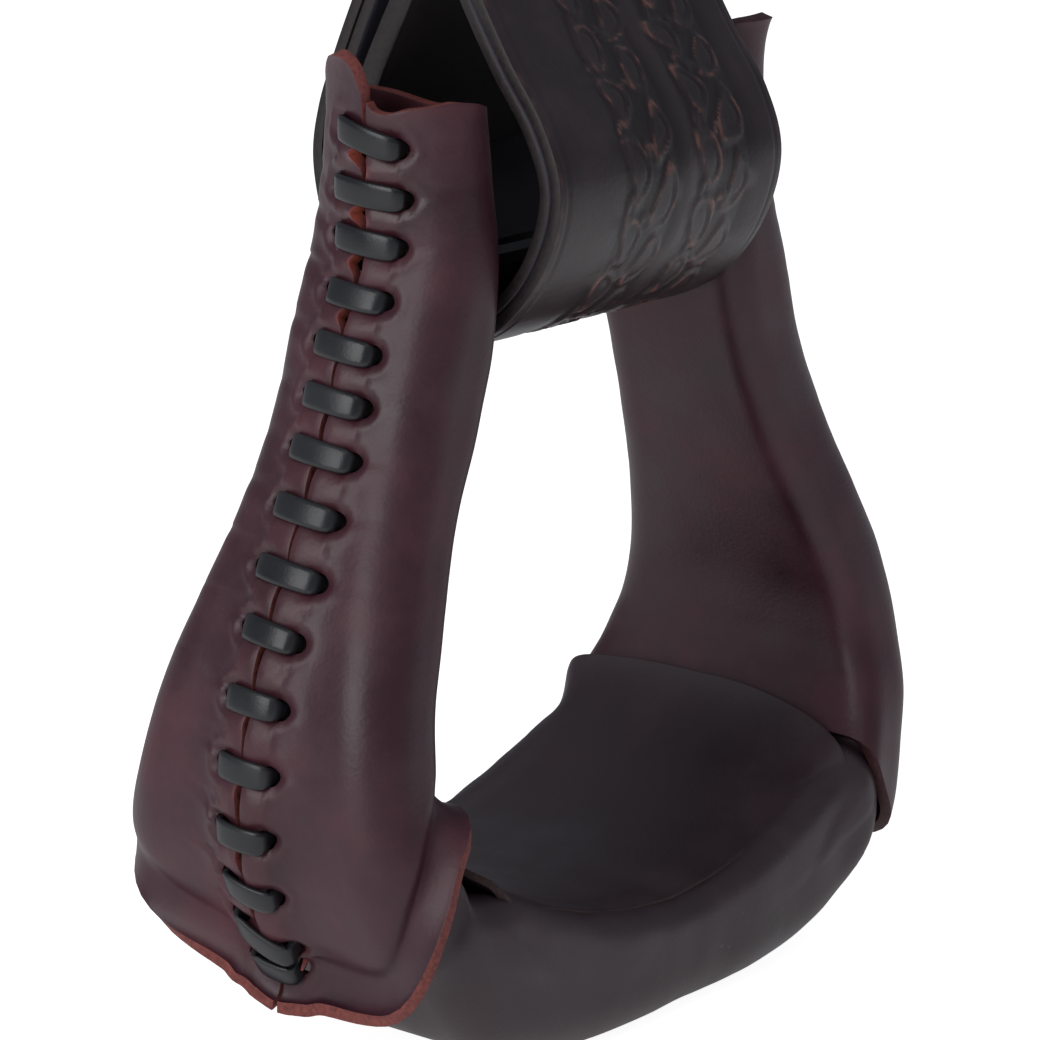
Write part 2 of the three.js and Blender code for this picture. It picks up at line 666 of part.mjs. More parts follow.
function strapPly(near, far) {
  return extrudeAcross(band(loopLine, near, far, segments.strap), strapWidth, strap.edgeBevel).subtract(strapHoles());
}

function billet() {
  const shape = band(billetLine, 0, strap.billetPly, segments.billet);
  const sunk = rivetPlaces.map(([x, z]) => alongY(
    cylinder(buckle.rivetHeadRadius + clearance, 2 * (buckle.rivetHeadThickness + clearance), segments.small),
    x, billetFace, z));
  return extrudeAcross(shape, strapWidth, strap.edgeBevel).subtract(strapHoles().add(Manifold.union(sunk)));
}

function bucklePlate() {
  const plate = Manifold.cube([buckle.plateWidth, buckle.plateThickness, buckle.plateHeight], true)
    .translate([0, plateY, plateBase + buckle.plateHeight / 2]);
  const reach = plateY - nearFront;
  const posts = postPlaces.map(([x, z]) => alongY(
    cylinder(buckle.postRadius, reach, segments.small), x, plateY - reach / 2, z));
  const holes = rivetPlaces.map(([x, z]) => alongY(
    cylinder(buckle.rivetRadius + clearance, buckle.plateThickness + overrun, segments.small), x, plateY, z));
  return plate.add(Manifold.union(posts)).subtract(Manifold.union(holes));
}

function rivet([x, z]) {
  const outside = plateY + buckle.plateThickness / 2 + clearance;
  const inside = billetFace + buckle.rivetHeadThickness;
  const head = cylinder(buckle.rivetHeadRadius, buckle.rivetHeadThickness, segments.small);
  const shank = cylinder(buckle.rivetRadius, outside - inside + buckle.rivetHeadThickness, segments.small);
  return Manifold.union([
    alongY(shank, x, (outside + inside) / 2, z),
    alongY(head, x, outside + buckle.rivetHeadThickness / 2, z),
    alongY(head, x, inside - buckle.rivetHeadThickness / 2, z),
  ]);
}

function buckleSleeve() {
  const slideFit = clearance * 1.5;
  const front = nearFront - slideFit;
  const back = plateY + buckle.plateThickness / 2 + clearance + buckle.rivetHeadThickness + slideFit;
  const inside = [strapWidth + 2 * slideFit, back - front];
  const wall = 2 * buckle.sleeveWall;
  const outer = Manifold.cube([inside[0] + wall, inside[1] + wall, buckle.sleeveHeight], true);
  const hollow = Manifold.cube([inside[0], inside[1], buckle.sleeveHeight + overrun], true);
  return outer.subtract(hollow).translate([0, (front + back) / 2, plateBase + buckle.sleeveAbovePlateBase + buckle.sleeveHeight / 2]);
}

// Assembly

add('bent_bow', bentBow(), looks.wood);
add('tread_block', treadBlock(), looks.wood);
nailPlaces().forEach((place, k) => add(`tread_nail_${k + 1}`, nailSolid(place, 0), looks.steel));

const rightCover = sideCover();
add('side_cover_right', rightCover, looks.sideLeather);
add('side_cover_left', mirrored(rightCover), looks.sideLeather);

const laceRings = laceStrip();
const rightLace = loftSolid(laceRings, fanCap(laceRings[0].length));
add('lace_right', rightLace, looks.laceLeather);
add('lace_left', mirrored(rightLace), looks.laceLeather);
console.log(`least gap of the lace to itself: ${leastGap(laceRings, laceLoop.length / 2).toFixed(2)} mm`);

add('tread_cover', treadCover(), looks.treadLeather);

add('bolt', boltSolid(), looks.steel);
add('nut', nutSolid(), looks.steel);
add('washer_left', ring(washer.radius, bolt.radius + clearance, washer.thickness, -washerX), looks.steel);
add('washer_right', ring(washer.radius, bolt.radius + clearance, washer.thickness, washerX), looks.steel);
add('roller', ring(roller.radius, bolt.radius + clearance, stirrup.neckInside - 2 * roller.endPlay, 0), looks.steel);

add('strap_lining_ply', strapPly(0, strap.ply), looks.liningLeather);
add('strap_tooled_ply', strapPly(strap.ply + clearance, 2 * strap.ply + clearance), looks.strapLeather);
add('strap_billet', billet(), looks.strapLeather);
add('buckle_plate', bucklePlate(), looks.steel);
rivetPlaces.forEach((place, k) => add(`buckle_rivet_${k + 1}`, rivet(place), looks.steel));
add('buckle_sleeve', buckleSleeve(), looks.steel);

export default part;
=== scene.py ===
import math
from bisect import bisect_right

import bmesh
import bpy
from mathutils import Matrix, Vector, kdtree, noise


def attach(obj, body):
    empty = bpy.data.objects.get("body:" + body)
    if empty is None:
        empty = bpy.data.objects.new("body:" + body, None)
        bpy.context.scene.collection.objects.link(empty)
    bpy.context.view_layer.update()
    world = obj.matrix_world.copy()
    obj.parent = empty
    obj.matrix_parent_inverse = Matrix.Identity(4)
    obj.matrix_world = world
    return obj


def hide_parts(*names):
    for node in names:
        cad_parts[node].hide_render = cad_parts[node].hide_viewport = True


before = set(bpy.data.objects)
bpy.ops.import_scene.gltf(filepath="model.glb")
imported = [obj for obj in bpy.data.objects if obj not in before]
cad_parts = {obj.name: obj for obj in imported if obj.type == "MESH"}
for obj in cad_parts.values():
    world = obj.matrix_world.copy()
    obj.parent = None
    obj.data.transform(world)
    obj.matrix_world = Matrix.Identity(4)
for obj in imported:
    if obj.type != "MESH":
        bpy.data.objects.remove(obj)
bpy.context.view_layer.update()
mm = 0.001

# sizes in millimetres, heights counted from the tread's underside
stirrup = {
    "height": 200, "bellyInside": 142.8, "bellyOutside": 189.6, "neckInside": 77.6, "neckOutside": 117.6,
    "treadDepth": 83.2, "treadThickness": 26.8, "cornerRound": 11, "innerRound": 7,
}
strapTop = 302  # the frame's origin stands at this height


def toFrame(x, y, z):
    return Vector((x * mm, y * mm, (z - strapTop) * mm))


# materials

def linearColor(hexValue):
    parts = [int(hexValue[i:i + 2], 16) / 255 for i in (1, 3, 5)]
    return (*[p / 12.92 if p <= 0.04045 else ((p + 0.055) / 1.055) ** 2.4 for p in parts], 1.0)


def joinTo(tree, node, links):
    for key, source in links.items():
        tree.links.new(source, node.inputs[key])


def addNode(tree, kind, settings=None, links=None):
    node = tree.nodes.new("ShaderNode" + kind)
    for key, value in (settings or {}).items():
        if key == "stops":
            elements = node.color_ramp.elements
            while len(elements) < len(value):
                elements.new(0.5)
            for element, (position, color) in zip(elements, value):
                element.position, element.color = position, linearColor(color)
        elif isinstance(key, str) and hasattr(node, key):
            setattr(node, key, value)
        else:
            node.inputs[key].default_value = value
    joinTo(tree, node, links or {})
    return node


def startMaterial(name, color, roughness, metallic=0.0, ior=1.5):
    material = bpy.data.materials.new(name)
    material.use_nodes = True
    tree = material.node_tree
    shader = tree.nodes["Principled BSDF"]
    shader.inputs["Base Color"].default_value = linearColor(color)
    shader.inputs["Roughness"].default_value = roughness
    shader.inputs["Metallic"].default_value = metallic
    if not metallic:
        shader.inputs["IOR"].default_value = ior
    onPiece = {"Vector": addNode(tree, "TexCoord").outputs["Object"]}
    return material, tree, shader, onPiece


def smoothLeather(name, tones, roughness, grainMm=0.9, grainDepth=0.09, wear=None, rubbedAndHighlit=None):
    # vegetable-tanned cowhide, dyed and waxed: mottled dye, fine pores, a broad soft gloss. A noise's scale counts
    # patches a metre, so the mottling is about 26 mm wide, the creases 4 mm and the specks of wear 2 mm; the pores are
    # coarser than real ones, which wouldn't show
    material, tree, shader, onPiece = startMaterial(name, tones[1], roughness, ior=1.48)
    mottle = addNode(tree, "TexNoise", {"Scale": 38.0, "Detail": 5.0, "Roughness": 0.62}, onPiece)
    dye = addNode(tree, "ValToRGB", {"stops": [(0.3, tones[0]), (0.52, tones[1]), (0.72, tones[2])]},
                  {"Fac": mottle.outputs["Fac"]})
    colorOut = dye.outputs["Color"]
    pores = addNode(tree, "TexVoronoi", {"feature": "SMOOTH_F1", "Scale": 1 / (grainMm * mm),
                                         "Smoothness": 0.5}, onPiece)
    creases = addNode(tree, "TexNoise", {"Scale": 260.0, "Detail": 4.0, "Roughness": 0.6}, onPiece)
    grain = addNode(tree, "Math", {"operation": "MULTIPLY_ADD", 1: 0.8},
                    {0: creases.outputs["Fac"], 2: pores.outputs["Distance"]})
    bump = addNode(tree, "Bump", {"Strength": 0.35, "Distance": grainDepth * mm}, {"Height": grain.outputs[0]})
    if wear:
        specks = addNode(tree, "TexNoise", {"Scale": 420.0, "Detail": 2.0, "Roughness": 0.7}, onPiece)
        scuffs = addNode(tree, "TexNoise", {"Scale": 30.0, "Detail": 3.0}, onPiece)
        both = addNode(tree, "Math", {"operation": "MULTIPLY"}, {0: specks.outputs["Fac"], 1: scuffs.outputs["Fac"]})
        amount = addNode(tree, "MapRange", {"From Min": 0.46, "From Max": 0.53, "To Max": 0.4},
                         {"Value": both.outputs[0]})
        worn = addNode(tree, "Mix", {"data_type": "RGBA", 7: linearColor(wear)}, {0: amount.outputs[0], 6: colorOut})
        colorOut = worn.outputs[2]
    if rubbedAndHighlit:
        # lighter where the leather is pulled up between the turns of the lace, partly dye rubbed thin and partly
        # painted highlight; a painted highlight round the holes and on the ears' curled tips, and dye rubbed thin where
        # the seam stands open
        rub = addNode(tree, "Attribute", {"attribute_name": "rub"})
        patchy = addNode(tree, "Math", {"operation": "MULTIPLY", "use_clamp": True},
                         {0: rub.outputs["Fac"], 1: creases.outputs["Fac"]})
        rubAndHighlightMix = addNode(tree, "Mix", {"data_type": "RGBA", 7: linearColor(rubbedAndHighlit)}, {0: patchy.outputs[0], 6: colorOut})
        colorOut = rubAndHighlightMix.outputs[2]
    gloss = addNode(tree, "MapRange", {"From Min": 0.3, "From Max": 0.7, "To Min": roughness - 0.07,
                                       "To Max": roughness + 0.1}, {"Value": mottle.outputs["Fac"]})
    joinTo(tree, shader, {"Base Color": colorOut, "Roughness": gloss.outputs[0], "Normal": bump.outputs["Normal"]})
    return material


def rawEdge(name, tones, roughness=0.8, bare=None):
    # cut edge of the hide: undyed fibres under a little rubbed-in dye, dull and rough; the fibres are drawn about 1 mm
    # coarse, since real ones wouldn't show
    material, tree, shader, onPiece = startMaterial(name, tones[0], roughness, ior=1.45)
    fibres = addNode(tree, "TexNoise", {"Scale": 900.0, "Detail": 3.0, "Roughness": 0.7}, onPiece)
    tint = addNode(tree, "ValToRGB", {"stops": [(0.35, tones[0]), (0.65, tones[1])]}, {"Fac": fibres.outputs["Fac"]})
    bump = addNode(tree, "Bump", {"Strength": 0.5, "Distance": 0.15 * mm}, {"Height": fibres.outputs["Fac"]})
    colorOut = tint.outputs["Color"]
    if bare:
        # where the seam stands open the fibres kept their own colour
        rub = addNode(tree, "Attribute", {"attribute_name": "rub"})
        strong = addNode(tree, "MapRange", {"From Min": 0.9, "From Max": 1.8}, {"Value": rub.outputs["Fac"]})
        fresh = addNode(tree, "Mix", {"data_type": "RGBA", 7: linearColor(bare)}, {0: strong.outputs[0], 6: colorOut})
        colorOut = fresh.outputs[2]
    joinTo(tree, shader, {"Base Color": colorOut, "Normal": bump.outputs["Normal"]})
    return material


def bentWood(name):
    # steam-bent hardwood, sawn and left bare: long streaks, dull
    material, tree, shader, onPiece = startMaterial(name, "#9a744a", 0.7)
    stretch = addNode(tree, "Mapping", {"Scale": (60.0, 420.0, 60.0)}, onPiece)
    streaks = addNode(tree, "TexNoise", {"Scale": 1.0, "Detail": 4.0, "Distortion": 0.6},
                      {"Vector": stretch.outputs["Vector"]})
    tint = addNode(tree, "ValToRGB", {"stops": [(0.3, "#7c5a36"), (0.5, "#9d774b"), (0.7, "#b08a5c")]},
                   {"Fac": streaks.outputs["Fac"]})
    bump = addNode(tree, "Bump", {"Strength": 0.3, "Distance": 0.1 * mm}, {"Height": streaks.outputs["Fac"]})
    joinTo(tree, shader, {"Base Color": tint.outputs["Color"], "Normal": bump.outputs["Normal"]})
    return material


def millSteel(name, tones):
    # mild steel, zinc-plated as it is sold or darkened as painted shade: slightly cloudy, with fine rolling marks
    material, tree, shader, onPiece = startMaterial(name, tones[0], 0.3, metallic=1.0)
    clouds = addNode(tree, "TexNoise", {"Scale": 220.0, "Detail": 4.0}, onPiece)
    cloudy = addNode(tree, "MapRange", {"To Min": 0.22, "To Max": 0.42}, {"Value": clouds.outputs["Fac"]})
    tint = addNode(tree, "ValToRGB", {"stops": [(0.3, tones[0]), (0.7, tones[1])]}, {"Fac": clouds.outputs["Fac"]})
    joinTo(tree, shader, {"Base Color": tint.outputs["Color"], "Roughness": cloudy.outputs[0]})
    return material


oxblood = smoothLeather("waxed_oxblood_leather", ["#31171f", "#40202a", "#522b34"], 0.44, rubbedAndHighlit="#6c3639")
oxbloodEdge = rawEdge("raw_cover_edge", ["#6a3634", "#8a4a43"], bare="#84392b")
# the right cover's cut edge, darker than the left's
darkEdge = rawEdge("darker_cover_edge", ["#34191d", "#4a272a"], 0.6)
treadHide = smoothLeather("dark_tread_leather", ["#2e2126", "#38292e", "#433338"], 0.48, wear="#6d6260")
treadEdge = rawEdge("raw_tread_edge", ["#3a2b2b", "#4d3a38"])
laceHide = smoothLeather("black_lace_leather", ["#17171a", "#1f2023", "#29292c"], 0.34, grainMm=0.6, grainDepth=0.05)
# the lining's bluish grey is lightened as painted light, lifting the shade inside the strap's loop
liningPaintedLight = smoothLeather("strap_lining_painted_light", ["#403e48", "#4c4a55", "#585660"], 0.62)
billetHide = smoothLeather("dark_billet_leather", ["#211c1f", "#2a2427", "#342d30"], 0.5)
strapEdge = rawEdge("burnished_strap_edge", ["#191314", "#292121"], 0.5)
wood = bentWood("bent_hardwood")
steel = millSteel("zinc_plated_steel", ["#7b7c7e", "#a0a0a1"])
# the roller's steel is darkened as painted shade for the inside of the strap's loop
rollerShadeSteel = millSteel("roller_steel_painted_shade", ["#1c1d20", "#2b2c30"])
print("materials made")

# leg and tread as rows: inner x and z, outer x and z, half depth, inner and outer rounding

halfNeckIn, halfBellyIn = stirrup["neckInside"] / 2, stirrup["bellyInside"] / 2
halfNeckOut, halfBellyOut = stirrup["neckOutside"] / 2, stirrup["bellyOutside"] / 2
halfDepth = stirrup["treadDepth"] / 2

legShares = [
    (0.05, 1.025, 0.01, 1.03, 0.38), (0.01, 0.92, 0.0, 0.925, 0.44), (0.0, 0.83, 0.015, 0.838, 0.49),
    (0.05, 0.74, 0.165, 0.76, 0.495), (0.235, 0.645, 0.31, 0.675, 0.51), (0.51, 0.55, 0.515, 0.585, 0.565),
    (0.77, 0.46, 0.735, 0.495, 0.66), (0.955, 0.385, 0.91, 0.415, 0.745), (1.0, 0.33, 0.995, 0.33, 0.815),
    (0.985, 0.295, 0.98, 0.255, 0.89), (0.95, 0.272, 0.84, 0.183, 0.94), (0.895, 0.25, 0.69, 0.13, 0.985),
    (0.83, 0.231, 0.53, 0.1, 1.03),
]
treadShares = [
    (0, 0, 0, 0, 1), (0.21, 0.006, 0.22, 0, 1), (0.42, 0.023, 0.44, 0.004, 1), (0.63, 0.051, 0.67, 0.016, 0.99),
    (0.78, 0.073, 0.87, 0.043, 0.97),
]
legRows = [(halfNeckIn + a * (halfBellyIn - halfNeckIn), b * stirrup["height"],
            halfNeckOut + c * (halfBellyOut - halfNeckOut), d * stirrup["height"],
            e * halfDepth, stirrup["innerRound"], stirrup["cornerRound"]) for a, b, c, d, e in legShares]


def outOf(row):
    out = Vector((row[2] - row[0], 0, row[3] - row[1]))
    return out.normalized(), out.length


def insetRow(row, fromInner, fromOuter, fromSides):
    out, _ = outOf(row)
    return (row[0] + out.x * fromInner, row[1] + out.z * fromInner, row[2] - out.x * fromOuter,
            row[3] - out.z * fromOuter, row[4] - fromSides, row[5], row[6])


def splineWeights(f):
    # shares of four neighbours in a smooth line that runs through the middle two
    return (0.5 * (-f + 2 * f * f - f ** 3), 0.5 * (2 - 5 * f * f + 3 * f ** 3),
            0.5 * (f + 4 * f * f - 3 * f ** 3), 0.5 * (f ** 3 - f * f))


def rowAt(rows, place):
    last = len(rows) - 1
    k = min(max(math.floor(place), 0), last - 1)
    near = [rows[min(max(n, 0), last)] for n in range(k - 1, k + 3)]
    weights = splineWeights(place - k)
    return tuple(sum(w * r[i] for w, r in zip(weights, near)) for i in range(7))


# the cover's leather and the room inside it; the wrap is eased where it slips under
cover = {"wall": 2.5, "play": 0.6, "seamGap": 1.2, "crown": 2.3, "crownReach": 13, "laceRoom": 2.55, "wrapPlay": 0.35,
         "wrapEase": 0.2, "innerEase": 2, "outerEase": 3}
besideCover = cover["wall"] + cover["play"]
underLace = cover["wall"] + cover["laceRoom"]
underCover = cover["wall"] + cover["wrapPlay"]
treadRows = [(a * halfBellyIn, stirrup["treadThickness"] + b * stirrup["height"], c * halfBellyIn,
              d * stirrup["height"], e * halfDepth, stirrup["innerRound"], stirrup["cornerRound"])
             for a, b, c, d, e in treadShares]
treadRows += [insetRow(row, besideCover, underLace, besideCover) for row in (legRows[-1], legRows[-2])]
wrapRows = treadRows[:-1] + [(*treadRows[-1][:5], stirrup["innerRound"] - cover["innerEase"],
                              stirrup["cornerRound"] - cover["outerEase"])]
wrapRows += [(*insetRow(row, underCover, underLace - cover["wrapEase"], underCover)[:5], row[5] - underCover,
              row[6] - underLace + cover["wrapEase"]) for row in legRows[-3:-7:-1]]
acrossRows = [(-r[0], r[1], -r[2], *r[3:]) for r in reversed(wrapRows[1:])] + wrapRows


def rowPoint(row, across, up):
    out, _ = outOf(row)
    return Vector(((row[0] + row[2]) / 2 + out.x * up, across, (row[1] + row[3]) / 2 + out.z * up))


def crownAt(across):
    reach = cover["crownReach"]
    return cover["crown"] * math.cos(math.pi / 2 * across / reach) ** 2 if abs(across) < reach else 0


def halfRound(row):
    # lengths of one half of a section: outer flat, outer corner, side, inner corner, inner flat
    _, thick = outOf(row)
    inner = min(row[5], thick / 2)
    outer = min(row[6], thick - inner)
    lengths = (row[4] - outer, outer * math.pi / 2, thick - inner - outer, inner * math.pi / 2, row[4] - inner)
    return lengths, inner, outer


def sectionPoint(row, run, lift=0.0, crown=True):
    # point at a length along the section from the middle of the outer face, lifted along the outward normal
    side = 1 if run >= 0 else -1
    rest = abs(run)
    lengths, inner, outer = halfRound(row)
    _, thick = outOf(row)
    high, wide = thick / 2, row[4]
    if rest <= lengths[0]:
        v, u, nv, nu = rest, high, 0.0, 1.0
    elif (rest := rest - lengths[0]) <= lengths[1]:
        a = math.pi / 2 - rest / outer
        v, u, nv, nu = wide - outer + outer * math.cos(a), high - outer + outer * math.sin(a), math.cos(a), math.sin(a)
    elif (rest := rest - lengths[1]) <= lengths[2]:
        v, u, nv, nu = wide, high - outer - rest, 1.0, 0.0
    elif (rest := rest - lengths[2]) <= lengths[3]:
        a = -rest / max(inner, 1e-6)
        v, u, nv, nu = wide - inner + inner * math.cos(a), inner - high + inner * math.sin(a), math.cos(a), math.sin(a)
    else:
        rest = min(rest - lengths[3], lengths[4])
        v, u, nv, nu = wide - inner - rest, -high, 0.0, -1.0
    if crown and u > 0:
        u += crownAt(v)
    return rowPoint(row, side * (v + nv * lift), u + nu * lift)


def runAt(row, across):
    # length along the section at which the outer face reaches a distance from the seam
    lengths, _, outer = halfRound(row)
    if across <= lengths[0]:
        return across
    return lengths[0] + outer * math.asin(min((across - lengths[0]) / outer, 1))


# grids laid on curved leather

def clearSelection():
    bpy.ops.object.select_all(action="DESELECT")


def selectOnly(piece):
    clearSelection()
    piece.select_set(True)
    bpy.context.view_layer.objects.active = piece


def lengthsAlong(points):
    lengths = [0]
    for a, b in zip(points, points[1:]):
        lengths.append(lengths[-1] + (b - a).length)
    return lengths


def gridPiece(name, columns, rows, placeOf, uvOf=None, flip=False):
    # a grid whose points are then laid on the leather's own surface
    clearSelection()
    bpy.ops.mesh.primitive_grid_add(x_subdivisions=columns, y_subdivisions=rows, size=2, location=(0, 0, 0))
    piece = bpy.context.object
    piece.name = piece.data.name = name
    work = bmesh.new()
    work.from_mesh(piece.data)
    uvLayer = work.loops.layers.uv.verify()
    # per point: rubbed dye together with painted highlight and painted shade, read by the materials
    rubAndLightLayer = work.verts.layers.float.new("rub")
    for vert in work.verts:
        a, b = (vert.co.x + 1) / 2, (vert.co.y + 1) / 2
        if uvOf:
            u, v = uvOf(a, b)
            for loop in vert.link_loops:
                loop[uvLayer].uv = (u, v)
        laid = placeOf(a, b)
        vert.co, vert[rubAndLightLayer] = laid if isinstance(laid, tuple) else (laid, 0.0)
    if flip:
        bmesh.ops.reverse_faces(work, faces=work.faces)
    work.to_mesh(piece.data)
    work.free()
    return piece


def punch(piece, holes, radius):
    # takes out the faces round each centre and draws the edge left there onto a true circle
    work = bmesh.new()
    work.from_mesh(piece.data)
    work.faces.ensure_lookup_table()
    tree = kdtree.KDTree(len(work.faces))
    for face in work.faces:
        tree.insert(face.calc_center_median(), face.index)
    tree.balance()
    gone, rims = set(), []
    for centre in holes:
        near = {work.faces[i] for _, i, _ in tree.find_range(centre, radius)}
        pinched = True
        while pinched:
            # a corner that touches the hole's two sides would be left hanging by a point
            pinched = set()
            for vert in {v for face in near for v in face.verts}:
                left = [face for face in vert.link_faces if face not in near and face not in gone]
                if len(left) == 2 and not set(left[0].edges) & set(left[1].edges):
                    pinched.add(min(left, key=lambda face: (face.calc_center_median() - centre).length))
            near |= pinched
        gone.update(near)
        rims.append((centre, {v for face in near for v in face.verts}))
    bmesh.ops.delete(work, geom=list(gone), context="FACES")
    for centre, verts in rims:
        for vert in verts:
            if vert.is_valid and vert.link_faces:
                normal = vert.normal.normalized()
                away = vert.co - centre
                height = away.dot(normal)
                flat = away - normal * height
                vert.co = centre + normal * height + flat.normalized() * radius
    work.to_mesh(piece.data)
    work.free()


def finishLeather(piece, wall, hide, edge, bevel=0.4, angle=42, even=True):
    # an even wall makes spikes where the sheet turns sharply back, as at the covers' lips
    piece.data.materials.append(hide)
    piece.data.materials.append(edge)
    selectOnly(piece)
    thicken = piece.modifiers.new("Wall", "SOLIDIFY")
    thicken.thickness = wall * mm
    thicken.offset = -1
    thicken.use_even_offset = even
    thicken.material_offset_rim = 1
    bpy.ops.object.modifier_apply(modifier=thicken.name)
    if bevel:
        soften = piece.modifiers.new("Edge", "BEVEL")
        soften.width = bevel * mm
        soften.segments = 2
        soften.limit_method = "ANGLE"
        soften.angle_limit = math.radians(55)
        bpy.ops.object.modifier_apply(modifier=soften.name)
    bpy.ops.object.shade_smooth_by_angle(angle=math.radians(angle))


# camera at the photograph's angle, with its slight roll

camera = {"place": (-0.7711, -0.5853, 0.0536), "forward": (0.7679, 0.5884, -0.2534), "turn": 52.5, "roll": 1.34,
          "lens": 163.56}


def addCamera(values):
    forward = Vector(values["forward"]).normalized()
    turn, roll = math.radians(values["turn"]), math.radians(values["roll"])
    right = Vector((math.cos(turn), -math.sin(turn), 0))
    up = right.cross(forward)
    axes = (right * math.cos(roll) + up * math.sin(roll), up * math.cos(roll) - right * math.sin(roll), -forward)
    lens = bpy.data.cameras.new("view_camera")
    lens.lens, lens.sensor_width = values["lens"], 36
    lens.clip_start, lens.clip_end = 0.02, 20
    seen = bpy.data.objects.new("view_camera", lens)
    bpy.context.collection.objects.link(seen)
    seen.matrix_world = Matrix.Translation(values["place"]) @ Matrix(axes).transposed().to_4x4()
    bpy.context.scene.camera = seen


addCamera(camera)
print("camera placed")

# lacing: the turns differ in height, half span and lean, and every hole's place follows from these

lacing = {
    "width": 5.4, "thickness": 1.2, "holeWidth": 3.4, "holeThickness": 1.5, "holeRadius": 2.3, "holeSink": 0.3,
    "lift": 0.4, "insideLift": 0.85, "sag": 0.12, "tail": 5, "lastStep": 0.3, "girth": 13,
    "halfSpans": (6.8, 7.9, 7.2, 6.5, 6.6, 6.8, 7.1, 7.0, 7.2, 6.1, 5.9, 5.8, 5.5, 5.4, 5.6, 4.6),
    "heightShares": (0.957, 0.902, 0.853, 0.8, 0.749, 0.698, 0.647, 0.591, 0.533, 0.476, 0.411, 0.346, 0.281, 0.222,
                     0.168, 0.134),
    "leanShares": (0.12, *[0.05] * 9, 0.03, 0.03, 0.04, 0.1, 0.38, 0.12),
    "loose": (2.0, 1.7, 1.2, 0.9, *[0] * 6, *[0.3] * 3, *[0] * 3),  # how far the seam gapes below each turn
}
lastRow = len(legRows) - 1
topPitch = math.dist(legRows[0][2:4], legRows[1][2:4])


def seamPlaces():
    # row of the leg at which each turn crosses the seam
    fine = 2400
    places = [k / fine * lastRow for k in range(fine + 1)]
    heights = [rowAt(legRows, place)[3] for place in places]
    return [next(p for p, height in zip(places, heights) if height <= share * stirrup["height"])
            for share in lacing["heightShares"]]


barPlaces = seamPlaces()

fineSteps = 600
seamLengths = [0]
for n in range(fineSteps):
    seamLengths.append(seamLengths[-1] + math.dist(rowAt(legRows, n / fineSteps * lastRow)[2:4],
                                                   rowAt(legRows, (n + 1) / fineSteps * lastRow)[2:4]))


def seamLength(place):
    spot = min(max(place / lastRow, 0), 1) * fineSteps
    n = min(int(spot), fineSteps - 1)
    return seamLengths[n] + (spot - n) * (seamLengths[n + 1] - seamLengths[n])


def holePlaces(side):
    # each turn leans a little, its front end the lower
    places = []
    for n, place in enumerate(barPlaces):
        pitch = barPlaces[n + 1] - place if n + 1 < len(barPlaces) else place - barPlaces[n - 1]
        places.append(place - side * lacing["leanShares"][n] * pitch)
    return places


holes = {side: holePlaces(side) for side in (-1, 1)}
holeLengths = {side: [seamLength(place) for place in holes[side]] for side in (-1, 1)}

# side cover: one wrapped piece of leather with its edges butted along the outside

coverShape = {
    "columns": 108, "rows": 270, "fineRun": 11.5, "fineColumns": 20, "earShare": 0.15, "mouthShare": 0.55,
    "lipRow": 6.6, "lipLength": 7.5, "outerTurn": 132, "sideTurn": 84, "turnShares": (0.42, 0.25), "trough": 1.4,
    "troughReach": 3.2, "mouthWave": 0.06, "leastPitch": 3.5, "unevenness": 0.45, "fineUnevenness": 0.1,
    "fineReach": 9, "curlLength": 15, "curlPower": 1.9, "earPaintedHighlight": 0.4,
}

# what the lacing does to the leather round it; of each pair of shares the last is the front edge's
drawn = {
    "pillow": 0.9, "pillowPower": 1.4, "seamDip": 0.3, "seamDipReach": 0.9, "bulge": 0.3, "bulgeReach": 5,
    "underBar": 0.6, "barReach": 2.3, "dimple": 1.3, "dimpleReach": 2.7, "rim": 0.5, "rimRadius": 4.3,
    "knob": 0.8, "knobAlong": -0.6, "knobOff": 2.9, "wedgeAt": 4.9, "wedgeReach": 1.9, "wedgeLift": 0.5,
    "wedgeLiftReach": 1.6, "crease": 0.95, "creaseReach": 8, "pillowRubAndHighlight": 0.25, "rimPaintedHighlight": 0.12, "rimHighlightRadius": 3.4,
    "wedgeRub": 1.4, "wedgeShares": {1: 1.25, -1: 0.5}, "markShares": {1: 1, -1: 0.6}, "reachShares": {1: 1.2, -1: 0.7},
}

# by share of the way round each leg, negative toward the front: heights of the top edge, rows by which the mouth
# draws back, how far its lip turns out, and how far the ear curls
leftShares = {
    "top": [(-1, 196), (-0.7, 196), (-0.5, 198), (-0.36, 198.5), (-0.25, 197.5), (-0.15, 196.5), (-0.06, 195),
            (0, 197), (0.04, 203), (0.08, 207), (0.13, 208.5), (0.18, 207.5), (0.23, 204.5), (0.28, 201.5),
            (0.36, 199.5), (0.5, 198), (0.8, 197), (1, 196)],
    "mouth": [(-1, 0), (-0.85, 0), (-0.77, 1.4), (-0.68, 3.2), (-0.6, 3.0), (-0.5, 2.4), (-0.41, 1.8), (-0.36, 1.3),
              (-0.29, 0.55), (-0.16, 0), (-0.05, 0), (0.03, 0.25), (0.15, 0.95), (0.27, 1.5), (0.33, 1.95),
              (0.45, 2.1), (0.6, 1.4), (0.7, 0.7), (0.8, 0), (1, 0)],
    "flare": [(-1, 0), (-0.8, 0), (-0.7, 0.85), (-0.6, 1), (0.15, 1), (0.25, 0.8), (0.35, 0.4), (0.46, 0), (1, 0)],
    "curl": [(-1, 0), (-0.8, 0.2), (-0.65, 0.5), (-0.4, 0.3), (-0.05, 0.3), (0.05, 1), (0.15, 1.6), (0.3, 1.2),
             (0.55, 0.2), (1, 0)],
}
